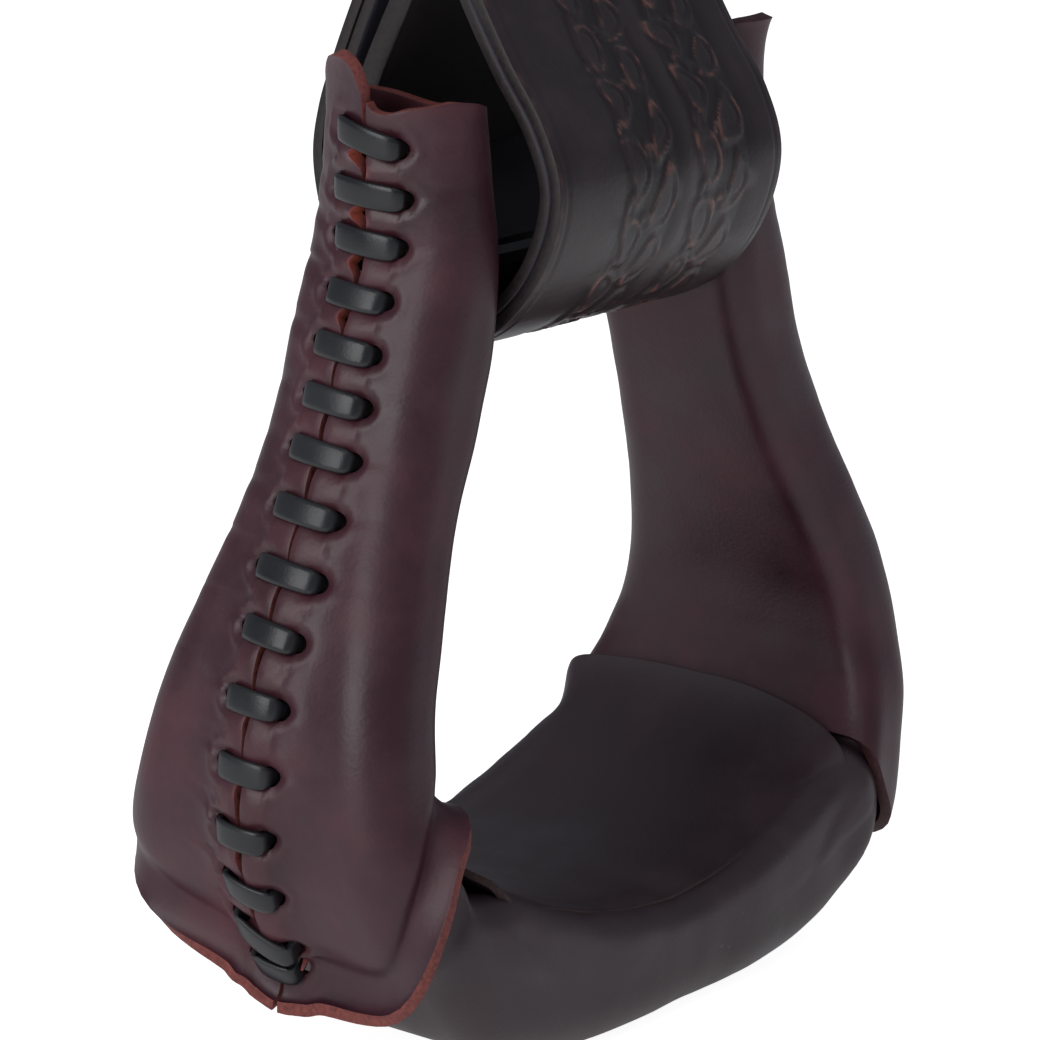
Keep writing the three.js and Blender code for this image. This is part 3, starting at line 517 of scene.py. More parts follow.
rightShares = {
    "top": [(-1, 196.5), (-0.88, 199), (-0.75, 203.5), (-0.6, 206), (-0.4, 205.5), (-0.25, 204), (-0.1, 200.5),
            (0, 198), (0.1, 197), (0.4, 197.5), (0.7, 196), (1, 196.5)],
    "mouth": [(-1, 0), (-0.8, 0), (-0.6, 0.15), (-0.45, 0.1), (-0.3, 0), (-0.1, -0.1), (0.05, 0), (0.2, 0.5),
              (0.35, 0.9), (0.5, 0.9), (0.65, 0.4), (0.76, 0), (1, 0)],
    "flare": [(-1, 0), (-0.2, 0), (0, 0.6), (0.2, 1), (0.45, 1), (0.6, 0), (1, 0)],
    "curl": [(-1, 0), (-0.8, 0.5), (-0.6, 2), (-0.4, 3), (-0.2, 2), (0, 0.5), (0.4, 0.4), (0.65, 0.8), (1, 0)],
}


def shareAt(table, share):
    # the table's value, averaged over a short stretch so that its corners don't show
    total = 0.0
    for step in (-0.03, -0.015, 0, 0.015, 0.03):
        spot = min(max(share + step, -1), 1)
        n = 0
        while n < len(table) - 2 and spot > table[n + 1][0]:
            n += 1
        (x0, y0), (x1, y1) = table[n], table[n + 1]
        total += y0 + (spot - x0) / (x1 - x0) * (y1 - y0)
    return total / 5


def smoothStep(low, high, value):
    t = min(max((value - low) / (high - low), 0), 1)
    return t * t * (3 - 2 * t)


def bell(value, reach):
    return math.exp(-(value / reach) ** 2)


def lipAt(gone, turn):
    # how far a lip that turns ever more steeply has come along the leg and outward, after a length of leather
    steps = 12
    along = out = 0.0
    for n in range(steps):
        angle = turn * ((n + 0.5) / steps * gone / coverShape["lipLength"]) ** 1.3
        along += math.cos(angle) * gone / steps
        out += math.sin(angle) * gone / steps
    return along, out


def coverRun(row, b, gap):
    # column share to length along the section, fine near the seam
    side = 1 if b <= 0.5 else -1
    n = min(b, 1 - b) * coverShape["columns"]
    total = sum(halfRound(row)[0])
    fine, count = coverShape["fineRun"], coverShape["fineColumns"]
    if n <= count:
        run = gap + n / count * (fine - gap)
    else:
        run = fine + (n - count) / (coverShape["columns"] / 2 - count) * (total - fine)
    return side * run, run / total


def mouthAt(b, signed, shares, seed):
    # row at which the mouth ends, and millimetres from row to row just above it
    step = 0.3
    base = lastRow - shareAt(shares["mouth"], signed) - coverShape["mouthWave"] * math.sin(9 * signed + seed)
    ends = [sectionPoint(row, coverRun(row, b, cover["seamGap"] / 2)[0])
            for row in (rowAt(legRows, base), rowAt(legRows, base - step))]
    return base, max((ends[0] - ends[1]).length / step, coverShape["leastPitch"])


def legPlace(a, top, base):
    # grid share to row: the rows bend only near the ear and toward the mouth
    ear, mouth, lipRow = (coverShape[key] for key in ("earShare", "mouthShare", "lipRow"))
    if a < ear:
        return top + a / ear * (ear * lastRow - top)
    if a > mouth:
        return lipRow + (a - mouth) / (1 - mouth) * (base - lipRow)
    return a * lastRow


def creasesAt(along, off, side, turn, seed):
    # a valley that runs out from a hole and fades, with a fold beside it and a fainter valley beyond
    wander = math.sin(seed * 3 + turn * 5.1 + side)
    slant = (0.25 + 0.7 * smoothStep(8, 12, turn)) if side > 0 else 0.1
    valley = along + (slant + 0.15 * wander) * off
    fade = math.exp(-off / (drawn["creaseReach"] * drawn["reachShares"][side]))
    depth = drawn["crease"] * (0.75 + 0.35 * wander) * drawn["markShares"][side]
    return depth * fade * (0.5 * bell(valley - 2.2, 1.4 + 0.1 * off) - bell(valley, 0.9 + 0.1 * off)
                           - 0.4 * bell(valley + 3.6 - 0.3 * off, 0.9))


def lacedAt(at, b, side, seed):
    # section and run of a point, its distance outside the holes, the lift that the lacing gives it, and its share of
    # rubbed colour and painted highlight
    here, ends = seamLength(at), holeLengths[side]
    k = min(range(len(ends)), key=lambda n: abs(ends[n] - here))
    along = here - ends[k]
    low = k if along >= 0 else k - 1
    between = spread = 0.0
    if 0 <= low < len(ends) - 1:
        between = math.sin(math.pi * (here - ends[low]) / (ends[low + 1] - ends[low])) ** drawn["pillowPower"]
    if low >= 0:
        wedge = bell(here - ends[low] - drawn["wedgeAt"], drawn["wedgeReach"])
        spread = lacing["loose"][low] * drawn["wedgeShares"][side] * wedge
    gap = cover["seamGap"] / 2 * (0.8 + 0.3 * math.sin(seed + at * 3)) + spread
    row = rowAt(legRows, at)
    run = coverRun(row, b, gap)[0]
    fromEdge, off = abs(run) - gap, abs(run) - runAt(row, lacing["halfSpans"][k])
    toHole, near = math.hypot(along, off), smoothStep(2.0, -1.2, off)
    lift = drawn["pillow"] * between * near * (1 - drawn["seamDip"] * bell(fromEdge, drawn["seamDipReach"]))
    lift += drawn["wedgeLift"] * spread * bell(fromEdge, drawn["wedgeLiftReach"])
    lift -= drawn["underBar"] * bell(along, drawn["barReach"]) * near
    lift -= drawn["dimple"] * bell(toHole, drawn["dimpleReach"])
    lift += drawn["rim"] * bell(toHole - drawn["rimRadius"], 1.0) * smoothStep(-2, 1.5, off) * drawn["markShares"][side]
    if side > 0:
        lift += drawn["knob"] * bell(math.hypot(along - drawn["knobAlong"], off - drawn["knobOff"]), 1.0)
    if off > 0:
        lift += creasesAt(along, off, side, k, seed)
        lift += drawn["bulge"] * math.exp(-off / drawn["bulgeReach"]) * between
    # pillows lighter, partly rubbed dye and partly painted highlight; a ring of painted highlight round each hole; the
    # seam's open wedges rubbed bare
    rub = drawn["pillowRubAndHighlight"] * between * near + drawn["rimPaintedHighlight"] * bell(toHole - drawn["rimHighlightRadius"], 1.2)
    return row, run, off, lift, rub + drawn["wedgeRub"] * spread * bell(fromEdge, 0.7)


def coverPoint(leg, seed, shares):
    shape = coverShape

    def place(a, b):
        guess = rowAt(legRows, 3 + a * (lastRow - 6))
        side = 1 if b <= 0.5 else -1
        share = coverRun(guess, b, cover["seamGap"] / 2)[1]
        signed = side * share
        top = (legRows[0][3] - shareAt(shares["top"], signed)) / (legRows[0][3] - legRows[1][3])
        base, pitch = mouthAt(b, signed, shares, seed)
        lipStart = base - shape["lipLength"] / pitch
        at = legPlace(a, top, base)
        flared = shareAt(shares["flare"], signed)
        lift = -shape["trough"] * flared * bell((at - lipStart) * pitch - 1, shape["troughReach"])
        if at > lipStart:
            outer = smoothStep(*shape["turnShares"], share)
            turn = shape["sideTurn"] + (shape["outerTurn"] - shape["sideTurn"]) * outer
            along, out = lipAt((at - lipStart) * pitch, math.radians(turn) * flared)
            at = lipStart + along / pitch
            lift += out
        row, run, off, laced, rub = lacedAt(at, b, side, seed)
        # uneven over patches of about 33, 12 and 2 mm, the smallest only near the lacing
        bare = sectionPoint(row, run)
        wide = noise.noise(bare * 0.03 + Vector((seed, 0, 0))) + 0.5 * noise.noise(bare * 0.08 + Vector((0, seed, 0)))
        fine = noise.noise(bare * 0.45 + Vector((0, 0, seed))) * math.exp(-max(off, 0) / shape["fineReach"])
        lift += laced + shape["unevenness"] * wide + shape["fineUnevenness"] * fine
        towardTop = max(0, 1 - (at - top) * topPitch / shape["curlLength"]) if at < 2 else 0
        lift += shareAt(shares["curl"], signed) * towardTop ** shape["curlPower"]
        # the ear's curled tip gets a painted highlight
        rub += shape["earPaintedHighlight"] * bell(towardTop - 1, 0.12)
        point = sectionPoint(row, run, lift)
        return toFrame(leg * point.x, point.y, point.z), rub
    return place


def holeCentres(sideSign):
    centres = []
    for side in (-1, 1):
        for at, span in zip(holes[side], lacing["halfSpans"]):
            row = rowAt(legRows, at)
            point = sectionPoint(row, side * runAt(row, span), -drawn["dimple"] - lacing["holeSink"])
            centres.append(toFrame(sideSign * point.x, point.y, point.z))
    return centres


def sideCover(name, side, seed, shares, edge):
    piece = gridPiece(name, coverShape["rows"], coverShape["columns"], coverPoint(side, seed, shares), flip=side < 0)
    punch(piece, holeCentres(side), lacing["holeRadius"] * mm)
    finishLeather(piece, cover["wall"], oxblood, edge, even=False)
    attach(piece, "stirrup")
    return piece


coverLeft = sideCover("side_cover_left_leather", -1, 1.3, leftShares, oxbloodEdge)
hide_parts("side_cover_left")
coverRight = sideCover("side_cover_right_leather", 1, 4.1, rightShares, darkEdge)
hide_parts("side_cover_right")
print("side covers laid and punched")

# lace: one flat strip wound round the seam through the holes; a turn's stations give the share of its half span,
# the height from inside to outside, the share of the way to the next turn and how far the strip is in a hole

laceStations = [
    (-1, 0.5, 0, 1), (-1, 0.8, 0, 0.55), (-0.82, 1, 0, 0.1), (0, 1, 0, 0), (0.82, 1, 0, 0.05), (1, 0.8, 0, 0.35),
    (1, 0.5, 0, 0.8), (1, 0.22, 0, 0.8), (0.8, 0, 0.08, 0.5), (0, 0, 0.5, 0.3), (-0.8, 0, 0.92, 0.5),
    (-1, 0.22, 1, 0.8),
]
lastStations = 9  # the last turn ends inside, before the way to a next one


def seamSurface(place, v, lift):
    row = rowAt(legRows, place)
    return sectionPoint(row, math.copysign(runAt(row, abs(v)), v), lift)


def laceRoute(seed):
    # each point: place, distance from the seam, lift, how far into a hole
    top = lacing["lift"] + lacing["thickness"] / 2
    low = -cover["wall"] - lacing["insideLift"] - lacing["thickness"] / 2
    count, spans = len(barPlaces), lacing["halfSpans"]
    first, span = holes[-1][0], spans[0]
    route = [(first - lacing["tail"] / topPitch, -0.4 * span, low, 0.5), (first - 0.06, -0.8 * span, low, 0.5),
             (first, -span, low + 0.22 * (top - low), 0.8)]
    for bar in range(count):
        front, back = holes[-1][bar], holes[1][bar]
        following = holes[-1][bar + 1] if bar + 1 < count else front + lacing["lastStep"]
        span, nextSpan = spans[bar], spans[min(bar + 1, count - 1)]
        end = lastStations if bar + 1 == count else len(laceStations)
        sag = lacing["sag"] * math.sin(seed * 2 + bar * 2.7)
        for v, up, step, inHole in laceStations[:end]:
            if step:
                at, reach = back + step * (following - back), span + step * (nextSpan - span)
            else:
                at, reach = front + (v + 1) / 2 * (back - front), span
            route.append((at, v * reach, low + up * (top - low) + (sag if up == 1 else 0), inHole))
    return route


def smoothRoute(route, steps):
    fine, last = [], len(route) - 1
    for k in range(last):
        near = [route[min(max(n, 0), last)] for n in range(k - 1, k + 3)]
        for step in range(steps):
            weights = splineWeights(step / steps)
            fine.append(tuple(sum(w * p[i] for w, p in zip(weights, near)) for i in range(4)))
    return fine + [route[-1]]


# the strip's section in half widths and half thicknesses, its outer face a little domed
stripOutline = [(1, 0), (0.97, 0.5), (0.88, 0.9), (0.6, 1.06), (0.2, 1.12), (-0.2, 1.12), (-0.6, 1.06),
                (-0.88, 0.9), (-0.97, 0.5), (-1, 0), (-0.97, -0.6), (-0.88, -0.95), (-0.5, -1), (0.5, -1),
                (0.88, -0.95), (0.97, -0.6)]


def lace(name, side, seed):
    stations = smoothRoute(laceRoute(seed), 4)
    centres = [seamSurface(*s[:3]) for s in stations]
    count, around = len(stations), len(stripOutline)
    rings = []
    for k, (place, v, lift, inHole) in enumerate(stations):
        heading = (centres[min(k + 1, count - 1)] - centres[max(k - 1, 0)]).normalized()
        seam = (seamSurface(place + 0.01, v, lift) - seamSurface(place - 0.01, v, lift)).normalized()
        wideAxis = (seam - heading * seam.dot(heading)).normalized()
        thickAxis = heading.cross(wideAxis).normalized()
        wide = (lacing["width"] + inHole * (lacing["holeWidth"] - lacing["width"])) / 2
        thick = (lacing["thickness"] + inHole * (lacing["holeThickness"] - lacing["thickness"])) / 2
        rings.append([centres[k] + wideAxis * (a * wide) - thickAxis * (b * thick) for a, b in stripOutline])
    lengths = lengthsAlong(centres)

    def placeOf(a, b):
        point = rings[round(a * (count - 1))][round(b * around) % around]
        return toFrame(side * point.x, point.y, point.z)

    def uvOf(a, b):
        return lengths[round(a * (count - 1))] * mm, b * lacing["girth"] * mm

    piece = gridPiece(name, count - 1, around, placeOf, uvOf, flip=side > 0)
    selectOnly(piece)
    bpy.ops.object.mode_set(mode="EDIT")
    bpy.ops.mesh.select_all(action="SELECT")
    bpy.ops.mesh.remove_doubles(threshold=1e-6)
    bpy.ops.mesh.select_all(action="DESELECT")
    bpy.ops.mesh.select_non_manifold(extend=False)
    bpy.ops.mesh.edge_face_add()
    bpy.ops.mesh.select_all(action="SELECT")
    bpy.ops.mesh.normals_make_consistent(inside=False)
    bpy.ops.object.mode_set(mode="OBJECT")
    piece.data.materials.append(laceHide)
    bpy.ops.object.shade_smooth_by_angle(angle=math.radians(50))
    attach(piece, "stirrup")
    return piece


laceLeft = lace("lace_left_strip", -1, 0.4)
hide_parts("lace_left")
laceRight = lace("lace_right_strip", 1, 2.2)
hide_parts("lace_right")
print("laces wound")

# tread cover: a wrap round the tread, and a top panel over it that runs on as a tongue up each leg

tread = {
    "wall": 2, "seamGap": 1, "columns": 150, "rows": 190, "unevenness": 0.9, "fineUnevenness": 0.35, "underTop": 0.9,
    "underTopShares": (0.55, 0.72), "underTopRows": (4.4, 5.4), "calmBottom": 0.7, "bottomShares": (0.5, 0.25),
    "fold": 0.9, "foldX": 55, "foldZ": 30, "foldSlopes": (0.72, 0.69), "foldY": (-30, -38), "foldEdge": 1.4,
    "foldLength": 11, "foldWidth": 6, "swell": 2.6, "swellY": (-20, -32), "swellX": (0, 10), "swellRow": 5.45,
    "swellReach": 0.42, "sink": 0.1, "sinkRows": (5.6, 4.6), "panelWall": 1.9, "panelSkive": 0.2,
    "tongueHalfWidth": 34, "tongueRise": 52.8, "tongueDrop": 12.5,
}


def wrapPoint(a, b):
    place = a * (len(acrossRows) - 1)
    row = rowAt(acrossRows, place)
    total = sum(halfRound(row)[0])
    run = tread["seamGap"] / 2 + 2 * min(b, 1 - b) * (total - tread["seamGap"] / 2)
    run = run if b <= 0.5 else -run
    base = sectionPoint(row, run, 0, crown=False)
    lift = tread["unevenness"] * noise.noise(Vector((base.x * 0.035, base.y * 0.035, 7.7)))
    lift += tread["fineUnevenness"] * noise.noise(Vector((base.x * 0.11, base.y * 0.11, 3.1 + base.z * 0.1)))
    share = abs(run) / total
    bottom = smoothStep(*tread["bottomShares"], share)
    lift *= 1 - tread["calmBottom"] * bottom
    if bottom > 0:
        lift = min(lift, 0)
    # a soft diagonal fold in the front, below each end of the top panel
    steep, level = tread["foldSlopes"]
    fold = (abs(base.x) - tread["foldX"]) * steep - (base.z - tread["foldZ"]) * level
    along = (abs(base.x) - tread["foldX"]) * level + (base.z - tread["foldZ"]) * steep
    front = smoothStep(*tread["foldY"], base.y)
    raised = smoothStep(-tread["foldEdge"], tread["foldEdge"], fold)
    lift += front * tread["fold"] * raised * bell(along, tread["foldLength"]) * bell(fold - 2, tread["foldWidth"])
    fromEnd = min(place, len(acrossRows) - 1 - place)
    # the wrap swells out of the right cover's mouth at the front, and lies flat inside both mouths
    swell = smoothStep(*tread["swellY"], base.y) * smoothStep(*tread["swellX"], base.x)
    swell *= bell(fromEnd - tread["swellRow"], tread["swellReach"])
    inMouth = smoothStep(*tread["sinkRows"], fromEnd)
    lift = lift * (1 - inMouth) - tread["sink"] * inMouth + tread["swell"] * swell
    underPanel = smoothStep(*tread["underTopShares"], share) * smoothStep(*tread["underTopRows"], fromEnd)
    lift -= tread["underTop"] * underPanel
    point = sectionPoint(row, run, lift, crown=False)
    return toFrame(point.x, point.y, point.z)


treadWrap = gridPiece("tread_wrap_leather", tread["rows"], tread["columns"], wrapPoint, flip=True)
finishLeather(treadWrap, tread["wall"], treadHide, treadEdge)
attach(treadWrap, "stirrup")

panelShape = {
    "rows": 220, "columns": 100, "onLeg": 0.39, "sunk": 0.6, "stations": 13, "steps": 20, "smooth": 7.5, "endSteps": 40,
    "bridgeRows": (5, 7.5), "edgeReach": 2.2, "foldReach": 7.5, "foldRows": (4.4, 9), "topDraw": 5.5,
    "topRows": (9.6, 12.4), "frontReach": 4.5, "frontRows": (6.2, 8.2), "pressWidth": 9, "pressRows": (7.2, 8.6),
    "pressEnd": (8.9, 8), "leftPressEnd": (12.4, 11.2), "tuck": 1.3, "lift": 0.15, "edgeDip": 0.5, "dipRows": (9, 8),
    "unevenness": 0.5,
}
panelTop = panelShape["stations"]


def panelLine(away):
    # middle line of the panel's outer face on the right half, with its section's half depth and rounding
    stations = [(Vector((r[0], 0, r[1])), r[4], r[5]) for r in (rowAt(treadRows, k / 2) for k in range(9))]
    for r in legRows[12:7:-1]:
        stations.append((Vector((r[0], 0, r[1])) - outOf(r)[0] * away, r[4], r[5]))
    first = stations[1]
    stations.insert(0, (Vector((-first[0].x, 0, first[0].z)), *first[1:]))
    return stations


def fineLine(away, smooth):
    # the line in small steps; a smooth one bridges the hollow between tread and leg as stiff leather does
    stations, steps, fine = panelLine(away), panelShape["steps"], []
    for n in range(panelTop * steps + 1):
        place = n / steps
        k = min(int(place), panelTop - 1)
        near = [stations[min(m, len(stations) - 1)] for m in range(k, k + 4)]
        weights = splineWeights(place - k)
        fine.append([sum((q[i] * w for w, q in zip(weights, near)), start)
                     for i, start in enumerate((Vector(), 0.0, 0.0))])
    points = [q[0] for q in fine]
    if smooth:
        along = lengthsAlong(points)
        shares = [(along[min(n + 1, len(along) - 1)] - along[max(n - 1, 0)]) / 2 for n in range(len(along))]
        bridged = []
        for n, point in enumerate(points):
            amount = smoothStep(*panelShape["bridgeRows"], n / steps) * smoothStep(panelTop, panelTop - 1.5, n / steps)
            weights = [share * bell(s - along[n], panelShape["smooth"]) for s, share in zip(along, shares)]
            mean = sum((q * w for q, w in zip(points, weights)), Vector()) / sum(weights)
            bridged.append(point.lerp(mean, amount))
        points = bridged
    line = []
    for n, (_, deep, rounding) in enumerate(fine):
        heading = (points[min(n + 1, len(points) - 1)] - points[max(n - 1, 0)]).normalized()
        line.append((points[n], Vector((-heading.z, 0, heading.x)), deep, rounding))
    return line


upperLine = fineLine(panelShape["onLeg"] + tread["panelWall"], True)
lowerLine = fineLine(tread["panelWall"] - underCover - panelShape["sunk"], False)


def panelAt(place, pressed=0.0):
    spot = min(max(place, 0), panelTop - 1e-6) * panelShape["steps"]
    k = int(spot)
    f = spot - k
    found = [a.lerp(b, f) if isinstance(a, Vector) else a + f * (b - a) for a, b in zip(upperLine[k], upperLine[k + 1])]
    if pressed:
        low = [a.lerp(b, f) for a, b in zip(lowerLine[k][:2], lowerLine[k + 1][:2])]
        found = [found[0].lerp(low[0], pressed), found[1].lerp(low[1], pressed).normalized(), *found[2:]]
    return found


def topPlace(across):
    # place along the panel's line at which the tongue's arched edge lies
    share = across / tread["tongueHalfWidth"]
    height = tread["tongueRise"] - tread["tongueDrop"] * (share ** 2 if share < 0 else 0.35 * share ** 4)
    low, high = 6.0, float(panelTop)
    for _ in range(24):
        middle = (low + high) / 2
        if panelAt(middle)[0].z < height:
            low = middle
        else:
            high = middle
    return low


topPlaces = [topPlace(tread["tongueHalfWidth"] * (2 * k / panelShape["endSteps"] - 1))
             for k in range(panelShape["endSteps"] + 1)]


def panelPoint(a, b):
    shape = panelShape
    t, across = 2 * a - 1, 2 * b - 1
    side = 1 if t >= 0 else -1
    spot = b * shape["endSteps"]
    k = min(int(spot), shape["endSteps"] - 1)
    place = abs(t) * (topPlaces[k] + (spot - k) * (topPlaces[k + 1] - topPlaces[k]))
    _, _, deep, rounding = panelAt(place)
    # how far round the corner the panel's edge reaches: furthest where it turns up the leg, least at the tongue's top
    reach = shape["edgeReach"] + shape["foldReach"] * smoothStep(*shape["foldRows"], place)
    reach -= shape["topDraw"] * smoothStep(*shape["topRows"], place)
    if side > 0 > across:
        reach += shape["frontReach"] * smoothStep(*shape["frontRows"], place)
    flat = deep - rounding
    run = abs(across) * (flat + reach)
    edge = flat + reach - run
    # the edge is pressed down on the wrap beside each mouth, longest where the left cover draws back
    until = shape["leftPressEnd" if side < 0 and across < 0 else "pressEnd"]
    pressed = smoothStep(shape["pressWidth"], 1, edge) * smoothStep(*shape["pressRows"], place)
    pressed *= smoothStep(*until, place)
    point, normal, _, _ = panelAt(place, pressed)
    dipped = smoothStep(shape["pressWidth"], 2, edge) * (1 - pressed) * smoothStep(*shape["dipRows"], place)
    lift = shape["lift"] - shape["edgeDip"] * dipped
    if run <= flat:
        v, down, nv, nn = run, 0.0, 0.0, 1.0
    else:
        turn = min((run - flat) / rounding, math.pi / 2)
        past = run - flat - rounding * math.pi / 2
        v = flat + rounding * math.sin(turn)
        down = rounding * (1 - math.cos(turn)) + max(past, 0)
        nv, nn = math.sin(turn), math.cos(turn)
    v -= shape["tuck"] * pressed * min(max(run - flat, 0) / 5, 1)
    sign = 1 if across >= 0 else -1
    lift += shape["unevenness"] * noise.noise(Vector((side * point.x * 0.03, sign * v * 0.03, 5.5)))
    laid = point + normal * (nn * lift - down)
    return toFrame(side * laid.x, sign * (v + nv * lift), laid.z)


treadPanel = gridPiece("tread_top_panel_leather", panelShape["rows"], panelShape["columns"], panelPoint)
finishLeather(treadPanel, tread["panelWall"] - tread["panelSkive"], treadHide, treadEdge)
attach(treadPanel, "stirrup")
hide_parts("tread_cover")
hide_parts("tread_cover")
print("tread covered")

# strap: two plies folded round the roller, with a billet between their ends

strap = {
    "ply": 2.65, "billetPly": 5.2, "clearance": 0.3, "play": 0.6, "sidePlay": 0.5, "joinHeight": 238, "joinLead": 7,
    "boltHeight": 158, "rollerRadius": 6.75, "rollerPlay": 0.65, "loopHalfDepth": 27.5, "rows": 430,
    "edgeFall": 0.28, "unevenness": 0.12,
}
strapWidth = stirrup["neckInside"] - 2 * strap["sidePlay"]
rollerBase = strap["boltHeight"] - strap["rollerRadius"] - strap["rollerPlay"]
loopHeight = strap["joinHeight"] - rollerBase
frontFace = 1.5 * strap["ply"] + strap["clearance"]
billetFace = frontFace + strap["play"]
backFace = billetFace + strap["billetPly"] + strap["clearance"]
loopShares = [
    (0.12, 0.955), (0, 0.87), (-0.2, 0.75), (-0.5, 0.6), (-0.82, 0.46), (-0.955, 0.34), (-0.83, 0.19), (-0.55, 0.075),
    (-0.22, 0.012), (0, 0), (0.22, 0.012), (0.55, 0.065), (0.85, 0.18), (1, 0.34), (0.96, 0.45), (0.83, 0.57),
    (0.62, 0.73), (0.46, 0.84), (0.385, 0.92),
]
billetShares = [(0.74, 0.33), (0.68, 0.45), (0.535, 0.57), (0.4, 0.66), (0.27, 0.75), (0.195, 0.85), (0.17, 0.93)]


def straightUp(y):
    join = strap["joinHeight"]
    return [(y, join), (y, join + strap["joinLead"]), (y, (join + strapTop) / 2), (y, strapTop)]


def loopPoints(shares):
    return [(deep * strap["loopHalfDepth"], rollerBase + up * loopHeight) for deep, up in shares]


def centripetal(points, steps=24):
    # a smooth line through the given points, as close points and the length up to each
    ends = [tuple(2 * a - b for a, b in zip(points[0], points[1]))]
    ends += [*points, tuple(2 * a - b for a, b in zip(points[-1], points[-2]))]
    fine = []
    for k in range(1, len(ends) - 2):
        p = [Vector((q[0], q[1])) for q in ends[k - 1:k + 3]]
        d = [max((p[n + 1] - p[n]).length ** 0.5, 1e-4) for n in range(3)]
        t1 = ((p[1] - p[0]) / d[0] - (p[2] - p[0]) / (d[0] + d[1]) + (p[2] - p[1]) / d[1]) * d[1]
        t2 = ((p[2] - p[1]) / d[1] - (p[3] - p[1]) / (d[1] + d[2]) + (p[3] - p[2]) / d[2]) * d[1]
        for step in range(steps):
            f = step / steps
            fine.append(p[1] + t1 * f + (p[2] * 3 - p[1] * 3 - t1 * 2 - t2) * f ** 2
                        + (p[1] * 2 - p[2] * 2 + t1 + t2) * f ** 3)
    fine.append(Vector(points[-1]))
    return fine, lengthsAlong(fine)


def lineAt(line, share):
    points, lengths = line
    want = share * lengths[-1]
    high = min(bisect_right(lengths, want), len(lengths) - 1)
    low = high - 1
    f = (want - lengths[low]) / (lengths[high] - lengths[low])
    before, after = points[max(low - 1, 0)], points[min(high + 1, len(points) - 1)]
    heading = ((points[high] - before) * (1 - f) + (after - points[low]) * f).normalized()
    return points[low].lerp(points[high], f), heading


loopLine = centripetal([*reversed(straightUp(frontFace)), *loopPoints(loopShares), *straightUp(backFace)])
billetLine = centripetal([*loopPoints(billetShares), *straightUp(billetFace)])

# stamped flower border: two bands, each with two columns of leaning petals left standing in a pressed ground

tooling = {
    "pressed": 0.38, "column": 9.4, "pitch": 12.2, "petalWidth": 3.3, "petalLength": 5.6, "bend": 0.07, "lean": 0.45,
    "stray": 1.5, "rimShare": 0.93, "rimHeight": 0.12, "rimReach": 0.5, "vein": 0.32, "veinShare": 0.56,
    "veinReach": 0.42, "seed": 1.25, "seedAcross": -3.4, "seedAlong": 4.2, "borderFromEdge": 2.7, "borderDepth": 0.3,
    "borderReach": 0.45, "edgeRubAndHighlight": 0.25, "bandShares": (0.4, 0.725),
}
bandLows = [share * strapWidth - tooling["column"] for share in tooling["bandShares"]]
bandEnds = [low + 2 * tooling["column"] for low in bandLows]


def toolingAt(u, v):
    shape = tooling
    edge = min(v, strapWidth - v)
    height = -shape["borderDepth"] * bell(edge - shape["borderFromEdge"], shape["borderReach"])
    # a line along the strap's edges, partly burnished wear and partly painted highlight
    rub = shape["edgeRubAndHighlight"] * bell(edge - 0.6, 0.6)
    for low, high in zip(bandLows, bandEnds):
        inside = smoothStep(low - 0.6, low + 0.3, v) * smoothStep(high + 0.6, high - 0.3, v)
        if not inside:
            continue
        straight = Vector((u * 0.13, v * 0.13, low))
        u1 = u + shape["stray"] * noise.noise(straight)
        v1 = v + shape["stray"] * noise.noise(straight + Vector((0, 0, 9)))
        body = vein = rim = 0.0
        for column in (0, 1):
            middle = low + (column + 0.5) * shape["column"]
            first = math.floor(u / shape["pitch"] + 0.5 * column)
            for cell in (first - 1, first, first + 1):
                chance = noise.noise(Vector((cell * 1.7, column * 5.3, low))) + 0.5
                lean = shape["lean"] * (0.3 + chance) * (1 if column else -1)
                du, dv = u1 - (cell + 0.5 - 0.5 * column) * shape["pitch"], v1 - middle
                x = dv * math.cos(lean) + du * math.sin(lean)
                y = du * math.cos(lean) - dv * math.sin(lean)
                x += shape["bend"] * y * y - 0.8
                out = math.hypot(x / shape["petalWidth"], y / shape["petalLength"])
                fromRim, fromVein = ((out - shape[key]) * shape["petalWidth"] for key in ("rimShare", "veinShare"))
                body = max(body, smoothStep(1.1, shape["rimShare"], out))
                rim = max(rim, bell(fromRim, shape["rimReach"]))
                vein = max(vein, bell(fromVein, shape["veinReach"]) * smoothStep(-1.2, 0.8, x))
                toSeed = math.hypot(x - shape["seedAcross"], y - shape["seedAlong"])
                body = max(body, smoothStep(shape["seed"] + 0.2, shape["seed"] - 0.3, toSeed))
                rim = max(rim, 0.7 * bell(toSeed - shape["seed"] + 0.4, shape["rimReach"]))
        height += inside * (shape["rimHeight"] * rim - shape["pressed"] * (1 - body) - shape["vein"] * vein * body)
        # rims partly rubbed and partly painted highlight; pressed ground and veins darkened as painted shade
        rub += inside * (rim - 0.9 * (1 - body) - 0.6 * vein)
    return height, rub


# where columns of the grid start and how many: many under the bands, few between
columnStops = [(0, 8), (4, 4), (bandLows[0], 36), (bandEnds[0], 3), (bandLows[1], 36), (bandEnds[1], 2),
               (strapWidth - 4, 8), (strapWidth, 0)]
fineColumns = [low + k / count * (high - low) for (low, count), (high, _) in zip(columnStops, columnStops[1:])
               for k in range(count)] + [strapWidth]


